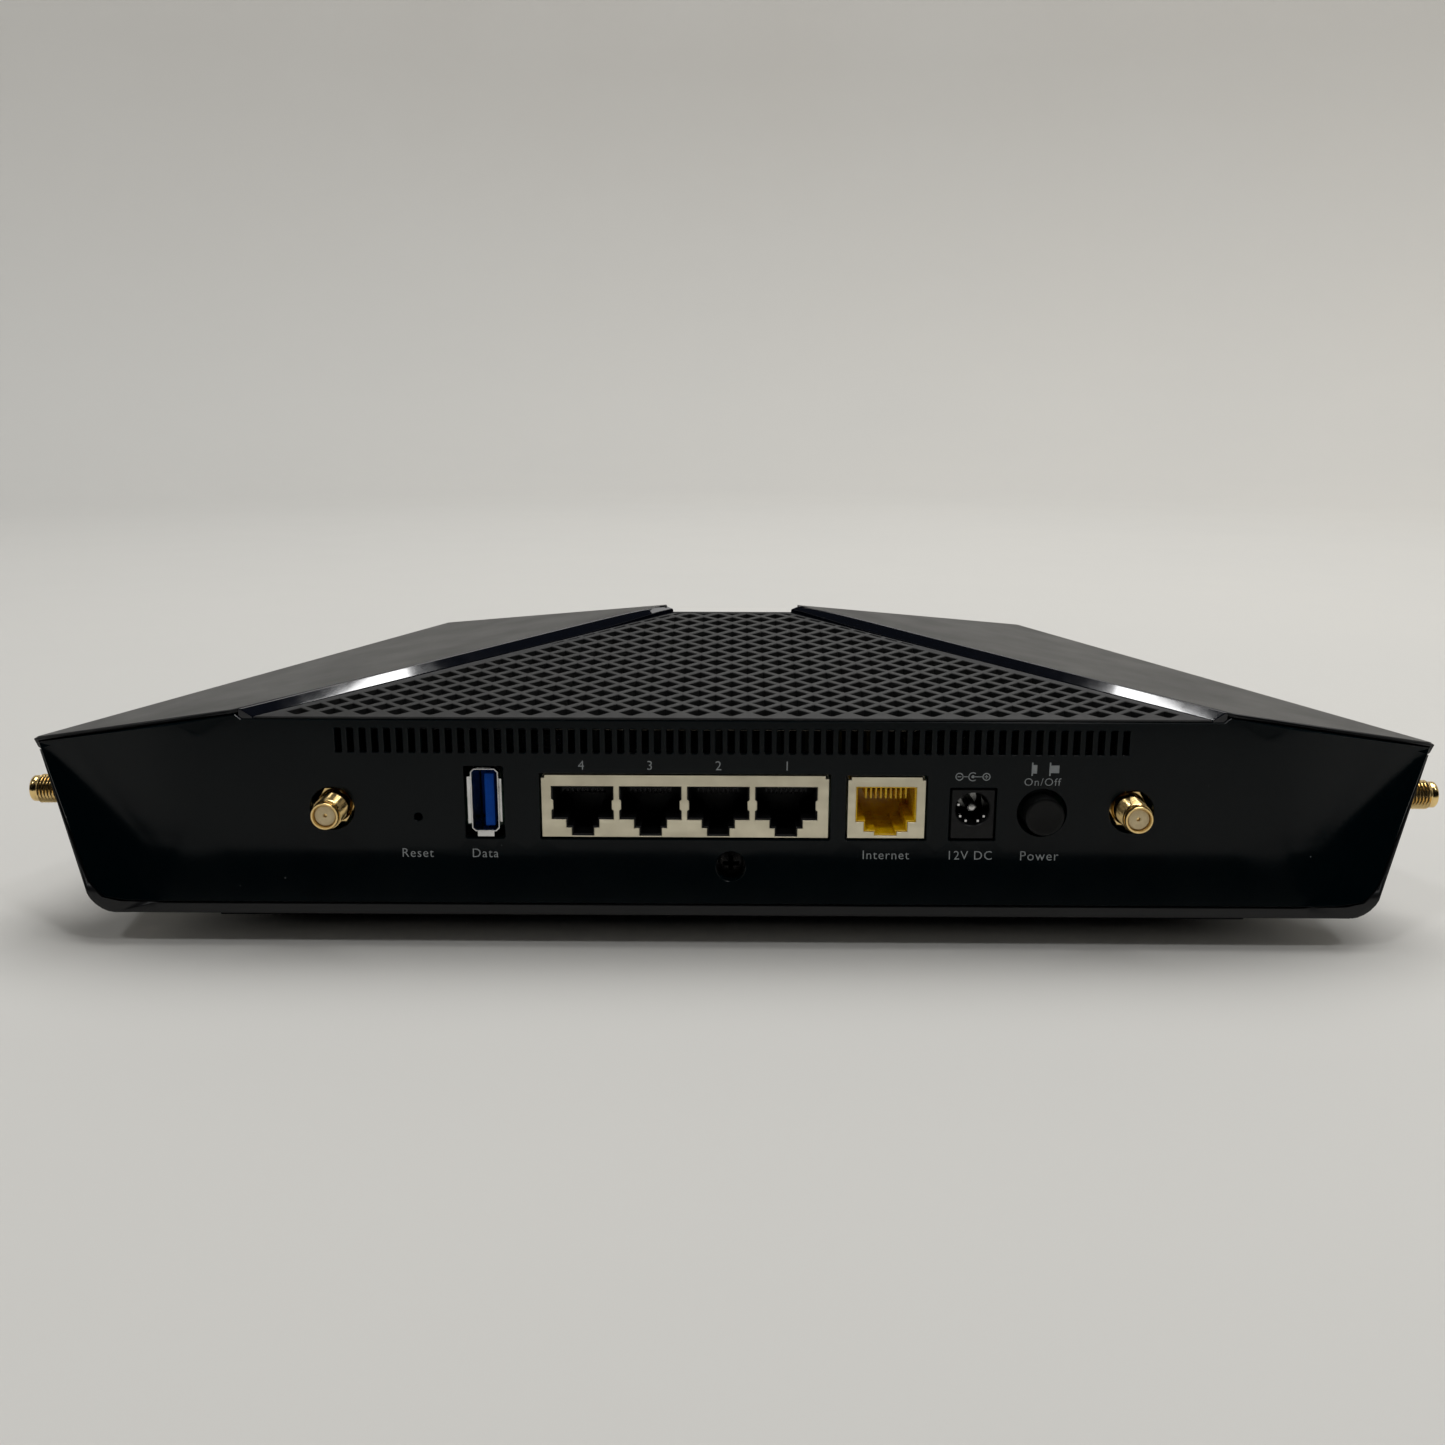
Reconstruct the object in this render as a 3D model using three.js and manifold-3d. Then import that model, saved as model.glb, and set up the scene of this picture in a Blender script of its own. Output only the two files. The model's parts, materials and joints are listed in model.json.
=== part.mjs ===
// Desktop wireless router, ports side facing -Y, standing on its feet at Z = 0.
// Millimetres. Every shape is first laid out with Y = depth behind the rear
// face (rear face at Y = 0, growing towards the front edge); piece() then moves
// it so that the middle of the object's depth is at Y = 0.

import * as THREE from 'three';
import { ConvexGeometry } from 'three/addons/geometries/ConvexGeometry.js';
import { mergeVertices } from 'three/addons/utils/BufferGeometryUtils.js';
import Module from 'manifold-3d';

const kernel = await Module();
kernel.setup();

// ---------------------------------------------------------------------------
// Driving dimensions
// ---------------------------------------------------------------------------
const FRONT_DEPTH = 199.8;          // rear face to front edge
const REAR_JACK_REACH = 5.8;        // rear antenna jacks stand out this far
const CENTRE_SHIFT = -(FRONT_DEPTH - REAR_JACK_REACH) / 2;
const GAP = 0.3;                    // clearance between neighbouring pieces

const WALL = 2.4;                   // case, cover and rear panel thickness
const CASE_BOTTOM = 7.2;            // underside of the case rim
const CORNER_RADIUS = 5.5;          // rounding between case floor and side walls
const PLINTH_BOTTOM = 2;            // underside of the plinth carrying the feet
const RIM_TOP = 9.6;                // top of the rim below the rear panel
const RIM_REACH = -1.8;             // the rim stands this far behind the panel's flat part

// corner points of the faceted body, right-hand half: [x, depth, height]
const SHOULDER = [147, 9.3, 42];    // widest point, upper rear corner
const WING_REAR = [101, 0, 50.4];   // where the wing meets grille and rear panel
const WING_TIP = [16, 58, 63.7];    // highest point, beside the ridge
const WING_KINK = [77.5, 100, 51.6];
const FRONT_CORNER = [92, 189, 26];
const FRONT_EDGE = [28, FRONT_DEPTH, 21.5];
const CREASE_FOOT = [121, -1.5, 11]; // lower end of the crease on the rear corner
const WEDGE_HEAD = [119.5, 2.2, 27.5]; // where the dark wedge beside the crease meets the wall
const FLOOR_CORNER = [134, -1.2, 11]; // rear end of the side wall, near the floor
const COVER_EDGE_HEIGHT = 2.4;      // near-vertical edge below the belt line
const COVER_LIP = 1.1;              // the cover's rear lip reaches over the panel's top edge

// grille between the wings: height = GRILLE_REAR + GRILLE_SLOPE * depth
const GRILLE_REAR_HALF = 99.4;
const GRILLE_REAR = 48.8;
const GRILLE_SLOPE = 0.226;
const GRILLE_RIDGE_DEPTH = 57;
const GRILLE_THICKNESS = 1.8;
const TRIM_WIDTH = 1.8;
const GRILLE_PITCH_X = 13.6;
const GRILLE_PITCH_Y = 9;
const DIAMOND_HALF_X = 5.4;
const DIAMOND_HALF_Y = 3.1;

// row of vent slots along the top of the rear panel
const SLOT_COUNT = 65;
const SLOT_PITCH = 2.5;
const SLOT_WIDTH = 1.35;
const SLOT_LOW = 41.5;
const SLOT_HIGH = 46.6;

// connectors on the rear panel (x positions and heights)
const BOARD_TOP = 23.2;
const BOARD_THICKNESS = 1.6;
const JACK_FACE_DEPTH = 0.4;        // jack faces sit this far behind the panel face
const LAN_CENTRES = [-30.55, -16.58, -2.61, 11.36];
const LAN_SHIELD = { left: -39, right: 20.1, low: BOARD_TOP + GAP, high: 36.9, deep: 16 };
const WAN_SHIELD = { left: 23.9, right: 39.9, low: BOARD_TOP + GAP, high: 36.7, deep: 16 };
const WAN_CENTRE = 31.85;
const DATA_SHELL = { left: -53.45, right: -47.65, low: 24.65, high: 38.15, deep: 14 };
const DC_BODY = { left: 45.1, right: 54.1, low: BOARD_TOP + GAP, high: 34.2, deep: 14 };
const DC_BORE = { x: 49.6, z: 29.9, radius: 3.5 };
const POWER_BUTTON = { x: 63.7, z: 29.3, radius: 4, hole: 5, travel: 2.5 };
const RESET_HOLE = { x: -64.4, z: 27.8, radius: 0.85 };
const REAR_SCREW = { x: 0, z: 17.6, recess: 3.05 };

// antenna jacks: hole centre on the rear panel and on the side walls
const REAR_JACK = { x: 82, z: 29.6, tip: -REAR_JACK_REACH };
const SIDE_JACK = { y: 15.9, z: 28.9, tip: 151, boss: 141 };
const JACK_LENGTH = 17.5;

// front band with the indicator windows and the two push buttons
const BAND_TOP_HALF = 15.4;
const BAND_FRONT_HALF = 10.5;
const BAND_SLOPE = (WING_TIP[2] - FRONT_EDGE[2]) / (FRONT_EDGE[1] - WING_TIP[1]);
const BAND_ANGLE = Math.atan(BAND_SLOPE);
const BAND_SINK = 0.8;              // band lies this far below the cover surface
const BAND_THICKNESS = 1.6;
const WINDOW_COUNT = 8;
const WINDOW_FIRST = 14;            // distance down the band from the ridge
const WINDOW_PITCH = 6.5;
const WINDOW_SIZE = [9, 1.6];
const PUSH_BUTTONS = { pairing_button: 84, wireless_button: 102 };
const PUSH_RADIUS = 5;

const FOOT_RADIUS = 8;
const FOOT_CENTRES = [[94, 26], [-94, 26], [62, 165], [-62, 165]];
const CASE_SCREWS = [[104, 32], [-104, 32], [70, 140], [-70, 140]];

// ---------------------------------------------------------------------------
// Colours: [red, green, blue, roughness, metalness]
// ---------------------------------------------------------------------------
const LOOKS = {
  satin_black: [0.022, 0.024, 0.027, 0.42, 0],
  panel_black: [0.014, 0.016, 0.019, 0.32, 0],
  grille_black: [0.028, 0.029, 0.032, 0.6, 0],
  gloss_black: [0.006, 0.008, 0.014, 0.08, 0],
  smoked_black: [0.008, 0.008, 0.01, 0.1, 0],
  frosted: [0.75, 0.78, 0.8, 0.4, 0],
  button_black: [0.016, 0.016, 0.018, 0.5, 0],
  foot_rubber: [0.03, 0.03, 0.032, 0.85, 0],
  jack_steel: [0.68, 0.65, 0.58, 0.35, 1],
  insert_black: [0.012, 0.012, 0.013, 0.55, 0],
  insert_yellow: [0.85, 0.55, 0.04, 0.45, 0],
  tongue_blue: [0.02, 0.11, 0.5, 0.4, 0],
  gold: [0.9, 0.66, 0.28, 0.25, 1],
  dielectric: [0.86, 0.8, 0.66, 0.5, 0],
  board_green: [0.02, 0.16, 0.08, 0.5, 0],
  aluminium: [0.7, 0.71, 0.72, 0.4, 1],
  tin: [0.62, 0.63, 0.64, 0.35, 1],
  chip_black: [0.02, 0.02, 0.022, 0.6, 0],
  lead_grey: [0.12, 0.12, 0.13, 0.5, 0],
  cable_white: [0.8, 0.8, 0.78, 0.5, 0],
  screw_black: [0.03, 0.03, 0.032, 0.35, 1],
};

// ---------------------------------------------------------------------------
// Solid helpers
// ---------------------------------------------------------------------------
function signedVolume(positions, triangles) {
  const corner = (index) => new THREE.Vector3().fromArray(positions, index * 3);
  let total = 0;
  for (let i = 0; i < triangles.length; i += 3) {
    const [a, b, c] = [corner(triangles[i]), corner(triangles[i + 1]), corner(triangles[i + 2])];
    total += a.dot(b.cross(c)) / 6;
  }
  return total;
}

// Turn a closed three.js geometry into a solid that can be added and subtracted.
function toSolid(geometry) {
  const bare = geometry.clone();
  bare.deleteAttribute('normal');
  bare.deleteAttribute('uv');
  const merged = mergeVertices(bare, 1e-4);
  const positions = Float32Array.from(merged.attributes.position.array);
  const triangles = [];
  for (let i = 0; i < merged.index.count; i += 3) {
    const [a, b, c] = [0, 1, 2].map((k) => merged.index.getX(i + k));
    if (a !== b && b !== c && c !== a) {
      triangles.push(a, b, c);
    }
  }
  if (signedVolume(positions, triangles) < 0) {
    triangles.reverse();
  }
  const mesh = new kernel.Mesh({
    numProp: 3,
    vertProperties: positions,
    triVerts: Uint32Array.from(triangles),
  });
  return new kernel.Manifold(mesh);
}

const join = (solids) => solids.reduce((sum, solid) => sum.add(solid));
const mirrored = (points) => points.flatMap(([x, y, z]) => [[x, y, z], [-x, y, z]]);
const acrossMiddle = (points) => points.map(([x, y, z]) => [-x, y, z]);

function hull(points) {
  return toSolid(new ConvexGeometry(points.map((point) => new THREE.Vector3(...point))));
}

function block([x0, x1], [y0, y1], [z0, z1]) {
  const geometry = new THREE.BoxGeometry(x1 - x0, y1 - y0, z1 - z0);
  return toSolid(geometry.translate((x0 + x1) / 2, (y0 + y1) / 2, (z0 + z1) / 2));
}

function extrude(points, depth) {
  const shape = new THREE.Shape(points.map(([u, v]) => new THREE.Vector2(u, v)));
  return new THREE.ExtrudeGeometry(shape, { depth, bevelEnabled: false });
}

// Prisms: the outline is (x, z) for alongY, (y, z) for alongX and (x, y) for alongZ.
function prismAlongY(points, y0, y1) {
  return toSolid(extrude(points, y1 - y0).rotateX(Math.PI / 2).translate(0, y1, 0));
}

function prismAlongX(points, x0, x1) {
  const turn = new THREE.Matrix4().makeBasis(
    new THREE.Vector3(0, 1, 0),
    new THREE.Vector3(0, 0, 1),
    new THREE.Vector3(1, 0, 0),
  );
  return toSolid(extrude(points, x1 - x0).applyMatrix4(turn).translate(x0, 0, 0));
}

function prismAlongZ(points, z0, z1) {
  return toSolid(extrude(points, z1 - z0).translate(0, 0, z0));
}

// Turned shape about the Y axis from [radius, y] pairs.
function turned(profile, sides) {
  const points = profile.map(([radius, y]) => new THREE.Vector2(radius, y));
  return toSolid(new THREE.LatheGeometry(points, sides));
}

function rodAlongY(x, z, radius, y0, y1, sides = 20) {
  const geometry = new THREE.CylinderGeometry(radius, radius, y1 - y0, sides);
  return toSolid(geometry.translate(x, (y0 + y1) / 2, z));
}

function rodAlongX(y, z, radius, x0, x1, sides = 20) {
  const geometry = new THREE.CylinderGeometry(radius, radius, x1 - x0, sides);
  return toSolid(geometry.rotateZ(Math.PI / 2).translate((x0 + x1) / 2, y, z));
}

function rodAlongZ(x, y, radius, z0, z1, sides = 20) {
  const geometry = new THREE.CylinderGeometry(radius, radius, z1 - z0, sides);
  return toSolid(geometry.rotateX(Math.PI / 2).translate(x, y, (z0 + z1) / 2));
}

// Round cable following a smooth curve through the given points.
function cable(points, radius, steps) {
  const path = new THREE.CatmullRomCurve3(points.map((point) => new THREE.Vector3(...point)));
  const ring = [];
  for (let i = 0; i < 6; i += 1) {
    const angle = (i / 6) * 2 * Math.PI;
    ring.push(new THREE.Vector2(radius * Math.cos(angle), radius * Math.sin(angle)));
  }
  const settings = { steps, extrudePath: path, bevelEnabled: false };
  return toSolid(new THREE.ExtrudeGeometry(new THREE.Shape(ring), settings));
}

const group = new THREE.Group();
group.name = 'wireless_router';

// Add one finished piece to the group, moved into the final frame.
function piece(name, solid, look) {
  const result = solid.translate([0, CENTRE_SHIFT, 0]).getMesh();
  const geometry = new THREE.BufferGeometry();
  geometry.setAttribute('position', new THREE.BufferAttribute(result.vertProperties, 3));
  geometry.setIndex(new THREE.BufferAttribute(result.triVerts, 1));
  geometry.computeVertexNormals();
  const [red, green, blue, roughness, metalness] = LOOKS[look];
  const color = new THREE.Color(red, green, blue);
  const material = new THREE.MeshStandardMaterial({ color, roughness, metalness });
  const mesh = new THREE.Mesh(geometry, material);
  mesh.name = name;
  group.add(mesh);
}

// ---------------------------------------------------------------------------
// Body envelope: convex, faceted, shared by case, cover and rear panel
// ---------------------------------------------------------------------------
// Half outline of the case at one height, pushed outwards by `out` from the floor edge.
function caseOutline(out, height) {
  return [
    [118 + 0.4 * out, RIM_REACH, height],
    [128.5 + out, RIM_REACH + 0.2 + 0.1 * out, height],
    [76 + 0.8 * out, 180 + 0.8 * out, height],
    [22 + 0.3 * out, 190 + out, height],
  ];
}

function roundedFloorRings() {
  const rings = [];
  for (const degrees of [0, 15, 30, 45, 60, 75]) {
    const angle = THREE.MathUtils.degToRad(degrees);
    const out = CORNER_RADIUS * Math.sin(angle);
    const rise = CORNER_RADIUS * (1 - Math.cos(angle));
    rings.push(...caseOutline(out, CASE_BOTTOM + rise));
  }
  return rings;
}

const CASE_BELT = [[118, 0, 39.3], [145.4, 10, 39.3], [90.2, 187.2, 23.3], [27.5, 198.2, 18.8]];
const COVER_BELT_LOW = [
  [118, 0, SHOULDER[2] - COVER_EDGE_HEIGHT],
  [146.1, 9.5, SHOULDER[2] - COVER_EDGE_HEIGHT],
  [91.3, 188.3, FRONT_CORNER[2] - COVER_EDGE_HEIGHT],
  [28, 199.2, FRONT_EDGE[2] - COVER_EDGE_HEIGHT],
];
const COVER_TOP = [SHOULDER, WING_REAR, WING_TIP, WING_KINK, FRONT_CORNER, FRONT_EDGE];

const caseEnvelope = hull(mirrored([...roundedFloorRings(), ...CASE_BELT]));
const coverEnvelope = hull(mirrored([...COVER_BELT_LOW, ...COVER_TOP]));
const wholeEnvelope = hull(mirrored([...roundedFloorRings(), ...COVER_BELT_LOW, ...COVER_TOP]));
const body = wholeEnvelope.intersect(rearShape());

// Everything in front of a plane through three points (towards the front edge of
// the object), as a large block covering the given x range.
function beyondPlane([a, b, c], x0, x1) {
  const [p, q, r] = [a, b, c].map((point) => new THREE.Vector3(...point));
  const normal = q.sub(p).cross(r.sub(p));
  const depthAt = (x, z) => p.y - (normal.x * (x - p.x) + normal.z * (z - p.z)) / normal.y;
  const corners = [[x0, 0], [x0, 80], [x1, 0], [x1, 80]];
  const near = corners.map(([x, z]) => [x, depthAt(x, z), z]);
  const far = corners.map(([x, z]) => [x, 260, z]);
  return hull([...near, ...far]);
}

// Rear face: a wall that is flat in the middle and curves forward towards the
// shoulders; a lower part that sweeps outwards to the rim and runs up as a wedge
// to each shoulder; and a tilted facet outside the crease below each shoulder.
function rearShape() {
  const curve = [[105, 0], [111, 0.45], [116, 1.4], [SHOULDER[0], SHOULDER[1]], [160, 12.6]];
  const wallPlan = [[160, 260], ...curve.toReversed(), ...curve.map(([x, y]) => [-x, y]), [-160, 260]];
  const sweep = [[RIM_REACH, 0], [RIM_REACH, RIM_TOP], [-0.9, 15], [-0.3, 19.2], [0, 22.3], [9.5, 80], [260, 80], [260, 0]];
  const wedge = [SHOULDER, CREASE_FOOT, WEDGE_HEAD];
  const facet = [SHOULDER, CREASE_FOOT, FLOOR_CORNER];
  const lower = prismAlongX(sweep, -160, 160)
    .intersect(beyondPlane(wedge, -160, 160))
    .intersect(beyondPlane(acrossMiddle(wedge), -160, 160));
  const facets = [beyondPlane(facet, 119, 160), beyondPlane(acrossMiddle(facet), -160, -119)];
  return join([prismAlongZ(wallPlan, 0, 80), lower, ...facets]);
}

function caseHollow() {
  const low = caseOutline(-1, CASE_BOTTOM + WALL);
  const knee = caseOutline(3.4, CASE_BOTTOM + CORNER_RADIUS);
  const belt = [[118, 0, 39.3], [142.4, 12.4, 39.3], [87.6, 184.6, 23.3], [26.5, 195.7, 18.8]];
  const above = belt.map(([x, y]) => [x, y, 75]);
  const rings = [...low, ...knee, ...belt, ...above];
  return hull(mirrored(rings.map(([x, y, z]) => [x, Math.max(y, -1), z])));
}

function coverHollow() {
  return hull(mirrored([
    [118, 2, 37],
    [142.6, 12.6, 37],
    [87.8, 184.8, 21],
    [26.5, 195.9, 16.5],
    [141, 12.8, 40.6],
    [87, 184, 24.6],
    [26.5, 195, 20],
    [100.5, 2, 48],
    [16, 58, 61.2],
    [76.5, 99, 49.2],
  ]));
}

// Space taken up by the rear panel, open to the rear: its outline leaves a thin
// rim free on every side, it ends one wall thickness inside the body, and it stays
// below the lip of the cover.
function panelRoom(grow) {
  const half = [
    [127, RIM_TOP + GAP - grow],
    [130.4 + grow, 10.7 - grow],
    [133 + grow, 13.5],
    [145.7 + grow, 41.4],
    [145.7 + grow, 70],
  ];
  const outline = [...half, ...half.map(([x, z]) => [-x, z]).reverse()];
  const behindFlatPart = block([-WING_REAR[0], WING_REAR[0]], [WALL + grow, 20], [0, 90]);
  const inside = body.translate([0, WALL + grow, 0]).add(behindFlatPart);
  return prismAlongY(outline, -5, 16).subtract(inside).intersect(belowWings(COVER_LIP - grow));
}

// Roof-shaped space that ends `drop` below both wing surfaces.
function belowWings(drop) {
  const ridge = [-5, 20].map((y) => [0, y, wingHeight(0, y) - drop]);
  const eaves = [-5, 20].flatMap((y) => [[150, y, wingHeight(150, y) - drop], [150, y, 0]]);
  return hull([...ridge, ...mirrored(eaves)]);
}

// ---------------------------------------------------------------------------
// Recess for grille, trim strips and front band
// ---------------------------------------------------------------------------
// Plan of the trapezoid between the wings, drawn in by `inset` along its sides.
function troughPlan(inset, rear, front) {
  const run = WING_TIP[1] - WING_REAR[1];
  const side = WING_REAR[0] - WING_TIP[0];
  const sidewards = inset * Math.hypot(run, side) / run;
  const halfAt = (y) => WING_REAR[0] - sidewards - (side * y) / run;
  return [[halfAt(rear), rear], [halfAt(front), front], [-halfAt(front), front], [-halfAt(rear), rear]];
}

// Height profile of the grille surface from the rear panel over the ridge.
function grilleProfile(drop) {
  const line = (y) => GRILLE_REAR + GRILLE_SLOPE * y - drop;
  return [
    [-5, line(-5)],
    [47, line(47)],
    [53, line(53) - 0.25],
    [GRILLE_RIDGE_DEPTH, line(GRILLE_RIDGE_DEPTH) - 0.8],
  ];
}

function grilleSlab(top, bottom) {
  const upper = grilleProfile(top);
  const lower = grilleProfile(bottom).reverse();
  return prismAlongX([...upper, ...lower], -110, 110);
}

// A block laid out on the sloping front band: (x, distance down from ridge, height above).
function onBand(solid) {
  const degrees = -THREE.MathUtils.radToDeg(BAND_ANGLE);
  return solid.rotate([degrees, 0, 0]).translate([0, WING_TIP[1], WING_TIP[2]]);
}

const BAND_LENGTH = Math.hypot(FRONT_EDGE[1] - WING_TIP[1], WING_TIP[2] - FRONT_EDGE[2]);

function bandPlan(inset, start, end) {
  const narrowing = (BAND_TOP_HALF - BAND_FRONT_HALF) / BAND_LENGTH;
  const halfAt = (s) => BAND_TOP_HALF - inset - narrowing * s;
  return [[halfAt(start), start], [halfAt(end), end], [-halfAt(end), end], [-halfAt(start), start]];
}

// ---------------------------------------------------------------------------
// Outer pieces
// ---------------------------------------------------------------------------
function bottomCase() {
  const plinth = hull(mirrored([
    [111.3, 10.5, PLINTH_BOTTOM],
    [111.3, 10.5, CASE_BOTTOM + 1],
    [70, 174, PLINTH_BOTTOM],
    [70, 174, CASE_BOTTOM + 1],
  ]));
  const posts = CASE_SCREWS.map(([x, y]) => rodAlongZ(x, y, 4.5, 4, BOARD_TOP - 1.9, 12));
  const screwBoss = block([-5, 5], [5.5, 12], [8, 20.8]);
  let solid = caseEnvelope.intersect(rearShape()).subtract(caseHollow());
  const jackBosses = [sideJackBoss(1), sideJackBoss(-1)];
  solid = join([solid, plinth, ...posts, screwBoss, ...jackBosses]).subtract(panelRoom(GAP));
  const plinthHollow = hull(mirrored([
    [108.5, 13.5, PLINTH_BOTTOM + 2.2],
    [108.5, 13.5, CASE_BOTTOM + WALL + 0.5],
    [67.5, 171, PLINTH_BOTTOM + 2.2],
    [67.5, 171, CASE_BOTTOM + WALL + 0.5],
  ]));
  const pillars = [...CASE_SCREWS, ...FOOT_CENTRES].map(([x, y]) => rodAlongZ(x, y, 9.5, 2.2, 11, 8));
  solid = solid.subtract(plinthHollow.subtract(join([...pillars, screwBoss])));
  for (const [x, y] of CASE_SCREWS) {
    solid = solid.subtract(rodAlongZ(x, y, 3.6, 0, 5.5, 12));
    solid = solid.subtract(rodAlongZ(x, y, 1.8, 0, 30, 12));
  }
  for (const [x, y] of FOOT_CENTRES) {
    solid = solid.subtract(rodAlongZ(x, y, FOOT_RADIUS + GAP, 0, PLINTH_BOTTOM + 1, 20));
  }
  solid = solid.subtract(rodAlongY(REAR_SCREW.x, REAR_SCREW.z, 1.75, 5, 11.5, 12));
  for (const side of [1, -1]) {
    solid = solid.subtract(sideJackHole(side));
    for (let row = 0; row < 9; row += 1) {
      const y = 62 + row * 9;
      solid = solid.subtract(block(side > 0 ? [8, 36] : [-36, -8], [y, y + 3], [0, 9.5]));
    }
  }
  return solid;
}

// Short boss on the side wall; the jack's flange sits behind it and its nut in front.
function sideJackBoss(side) {
  return sideRod(side, 5.8, 134.5, SIDE_JACK.boss);
}

function sideJackHole(side) {
  const behind = sideRod(side, 5, 125, SIDE_JACK.boss - 1.3);
  const through = sideRod(side, 3.5, 130, 150);
  const nutRoom = sideRod(side, 5.8, SIDE_JACK.boss, 150);
  return join([behind, through, nutRoom]);
}

function sideRod(side, radius, near, far) {
  const ends = side > 0 ? [near, far] : [-far, -near];
  return rodAlongX(SIDE_JACK.y, SIDE_JACK.z, radius, ends[0], ends[1], 16);
}

function topCover() {
  let solid = coverEnvelope.intersect(rearShape()).subtract(coverHollow());
  solid = solid.subtract(caseEnvelope.translate([0, 0, GAP]));
  const frame = grilleSlab(-4, GRILLE_THICKNESS + 2).intersect(prismAlongZ(troughPlan(-2.5, 2, 60), 30, 70));
  const bandFloor = onBand(prismAlongZ(bandPlan(-2.4, -1.5, BAND_LENGTH - 7), -BAND_SINK - BAND_THICKNESS - 2, -1));
  const bosses = CASE_SCREWS.map(([x, y]) => rodAlongZ(x, y, 4, BOARD_TOP + GAP, 60, 16));
  const extras = join([frame, bandFloor, ...bosses]).intersect(coverEnvelope.add(coverHollow()).add(lowerRoom()));
  solid = solid.add(extras);
  solid = solid.subtract(grilleSlab(-8, GRILLE_THICKNESS + GAP).intersect(prismAlongZ(troughPlan(0, -5, 57.6), 30, 80)));
  solid = solid.subtract(prismAlongZ(troughPlan(4.5, 7, 50), 30, 80));
  solid = solid.subtract(onBand(prismAlongZ(bandPlan(-GAP, -4, BAND_LENGTH + 10), -BAND_SINK - BAND_THICKNESS - GAP, 12)));
  solid = solid.subtract(onBand(prismAlongZ(bandPlan(4, 8, 114), -12, 0)));
  for (const [x, y] of CASE_SCREWS) {
    solid = solid.subtract(rodAlongZ(x, y, 1.8, 20, 33, 12));
  }
  return solid.subtract(panelRoom(GAP));
}

// Space below the cover that the screw bosses may reach down into.
function lowerRoom() {
  return block([-112, 112], [12, 178], [BOARD_TOP, 45]).intersect(wholeEnvelope);
}

function rearPanel() {
  let solid = panelRoom(0).intersect(body);
  const bosses = [rodAlongY(REAR_SCREW.x, REAR_SCREW.z, 4.6, 1, 4.6, 20)];
  for (const side of [1, -1]) {
    bosses.push(rodAlongY(side * REAR_JACK.x, REAR_JACK.z, 6.8, 1, 6.6, 20));
  }
  solid = join([solid, ...bosses]);
  // stepped top edge between the wings
  const step = [
    [-GRILLE_REAR_HALF, GRILLE_REAR],
    [GRILLE_REAR_HALF, GRILLE_REAR],
    [WING_REAR[0], WING_REAR[2] + 0.1],
    [WING_REAR[0], 60],
    [-WING_REAR[0], 60],
    [-WING_REAR[0], WING_REAR[2] + 0.1],
  ];
  solid = solid.subtract(prismAlongY(step, -2, 4));
  return solid.subtract(join(panelHoles()));
}

function panelHoles() {
  const holes = [];
  for (let i = 0; i < SLOT_COUNT; i += 1) {
    const x = (i - (SLOT_COUNT - 1) / 2) * SLOT_PITCH;
    holes.push(block([x - SLOT_WIDTH / 2, x + SLOT_WIDTH / 2], [-1, 4], [SLOT_LOW, SLOT_HIGH]));
  }
  const windows = [LAN_SHIELD, WAN_SHIELD, DC_BODY];
  for (const port of windows) {
    const across = [port.left - GAP, port.right + GAP];
    holes.push(block(across, [-1, 4], [port.low - GAP, port.high + GAP]));
  }
  const data = [DATA_SHELL.left - 1.3, DATA_SHELL.right + 1.0];
  holes.push(block(data, [-1, 4], [DATA_SHELL.low - 1.4, DATA_SHELL.high + 0.5]));
  holes.push(rodAlongY(POWER_BUTTON.x, POWER_BUTTON.z, POWER_BUTTON.hole, -1, 4, 32));
  holes.push(rodAlongY(RESET_HOLE.x, RESET_HOLE.z, RESET_HOLE.radius, -1, 4, 12));
  holes.push(rodAlongY(REAR_SCREW.x, REAR_SCREW.z, REAR_SCREW.recess, -1, 3, 24));
  holes.push(rodAlongY(REAR_SCREW.x, REAR_SCREW.z, 1.75, -1, 6, 12));
  for (const side of [1, -1]) {
    holes.push(rodAlongY(side * REAR_JACK.x, REAR_JACK.z, 4.5, -1, 4.7, 24));
    holes.push(rodAlongY(side * REAR_JACK.x, REAR_JACK.z, 3.5, -1, 8, 20));
  }
  return holes;
}

// Grille sheet with staggered rows of diamond-shaped holes.
function ventGrille() {
  const plan = prismAlongZ(troughPlan(TRIM_WIDTH + GAP, WALL + GAP, GRILLE_RIDGE_DEPTH), 30, 80);
  const sheet = grilleSlab(0, GRILLE_THICKNESS).intersect(plan);
  const room = prismAlongZ(troughPlan(TRIM_WIDTH + 2.2, WALL + 2.2, GRILLE_RIDGE_DEPTH - 1.5), 0, 90);
  const holes = [];
  for (let row = 0; row < 12; row += 1) {
    const y = 8.2 + (row * GRILLE_PITCH_Y) / 2;
    const stagger = row % 2 === 0 ? 0 : GRILLE_PITCH_X / 2;
    for (let column = -8; column <= 8; column += 1) {
      const x = column * GRILLE_PITCH_X + stagger;
      const diamond = [[x - DIAMOND_HALF_X, y], [x, y - DIAMOND_HALF_Y], [x + DIAMOND_HALF_X, y], [x, y + DIAMOND_HALF_Y]];
      if (insideTrough(diamond)) {
        holes.push(prismAlongZ(diamond, 40, 70));
      }
    }
  }
  return sheet.subtract(join(holes).intersect(room));
}

function insideTrough(corners) {
  const [[rearHalf, rear], [frontHalf, front]] = troughPlan(TRIM_WIDTH + 2.4, WALL + 2.4, GRILLE_RIDGE_DEPTH - 1.5);
  return corners.every(([x, y]) => {
    const half = rearHalf + ((frontHalf - rearHalf) * (y - rear)) / (front - rear);
    return y > rear && y < front && Math.abs(x) < half;
  });
}

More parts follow.
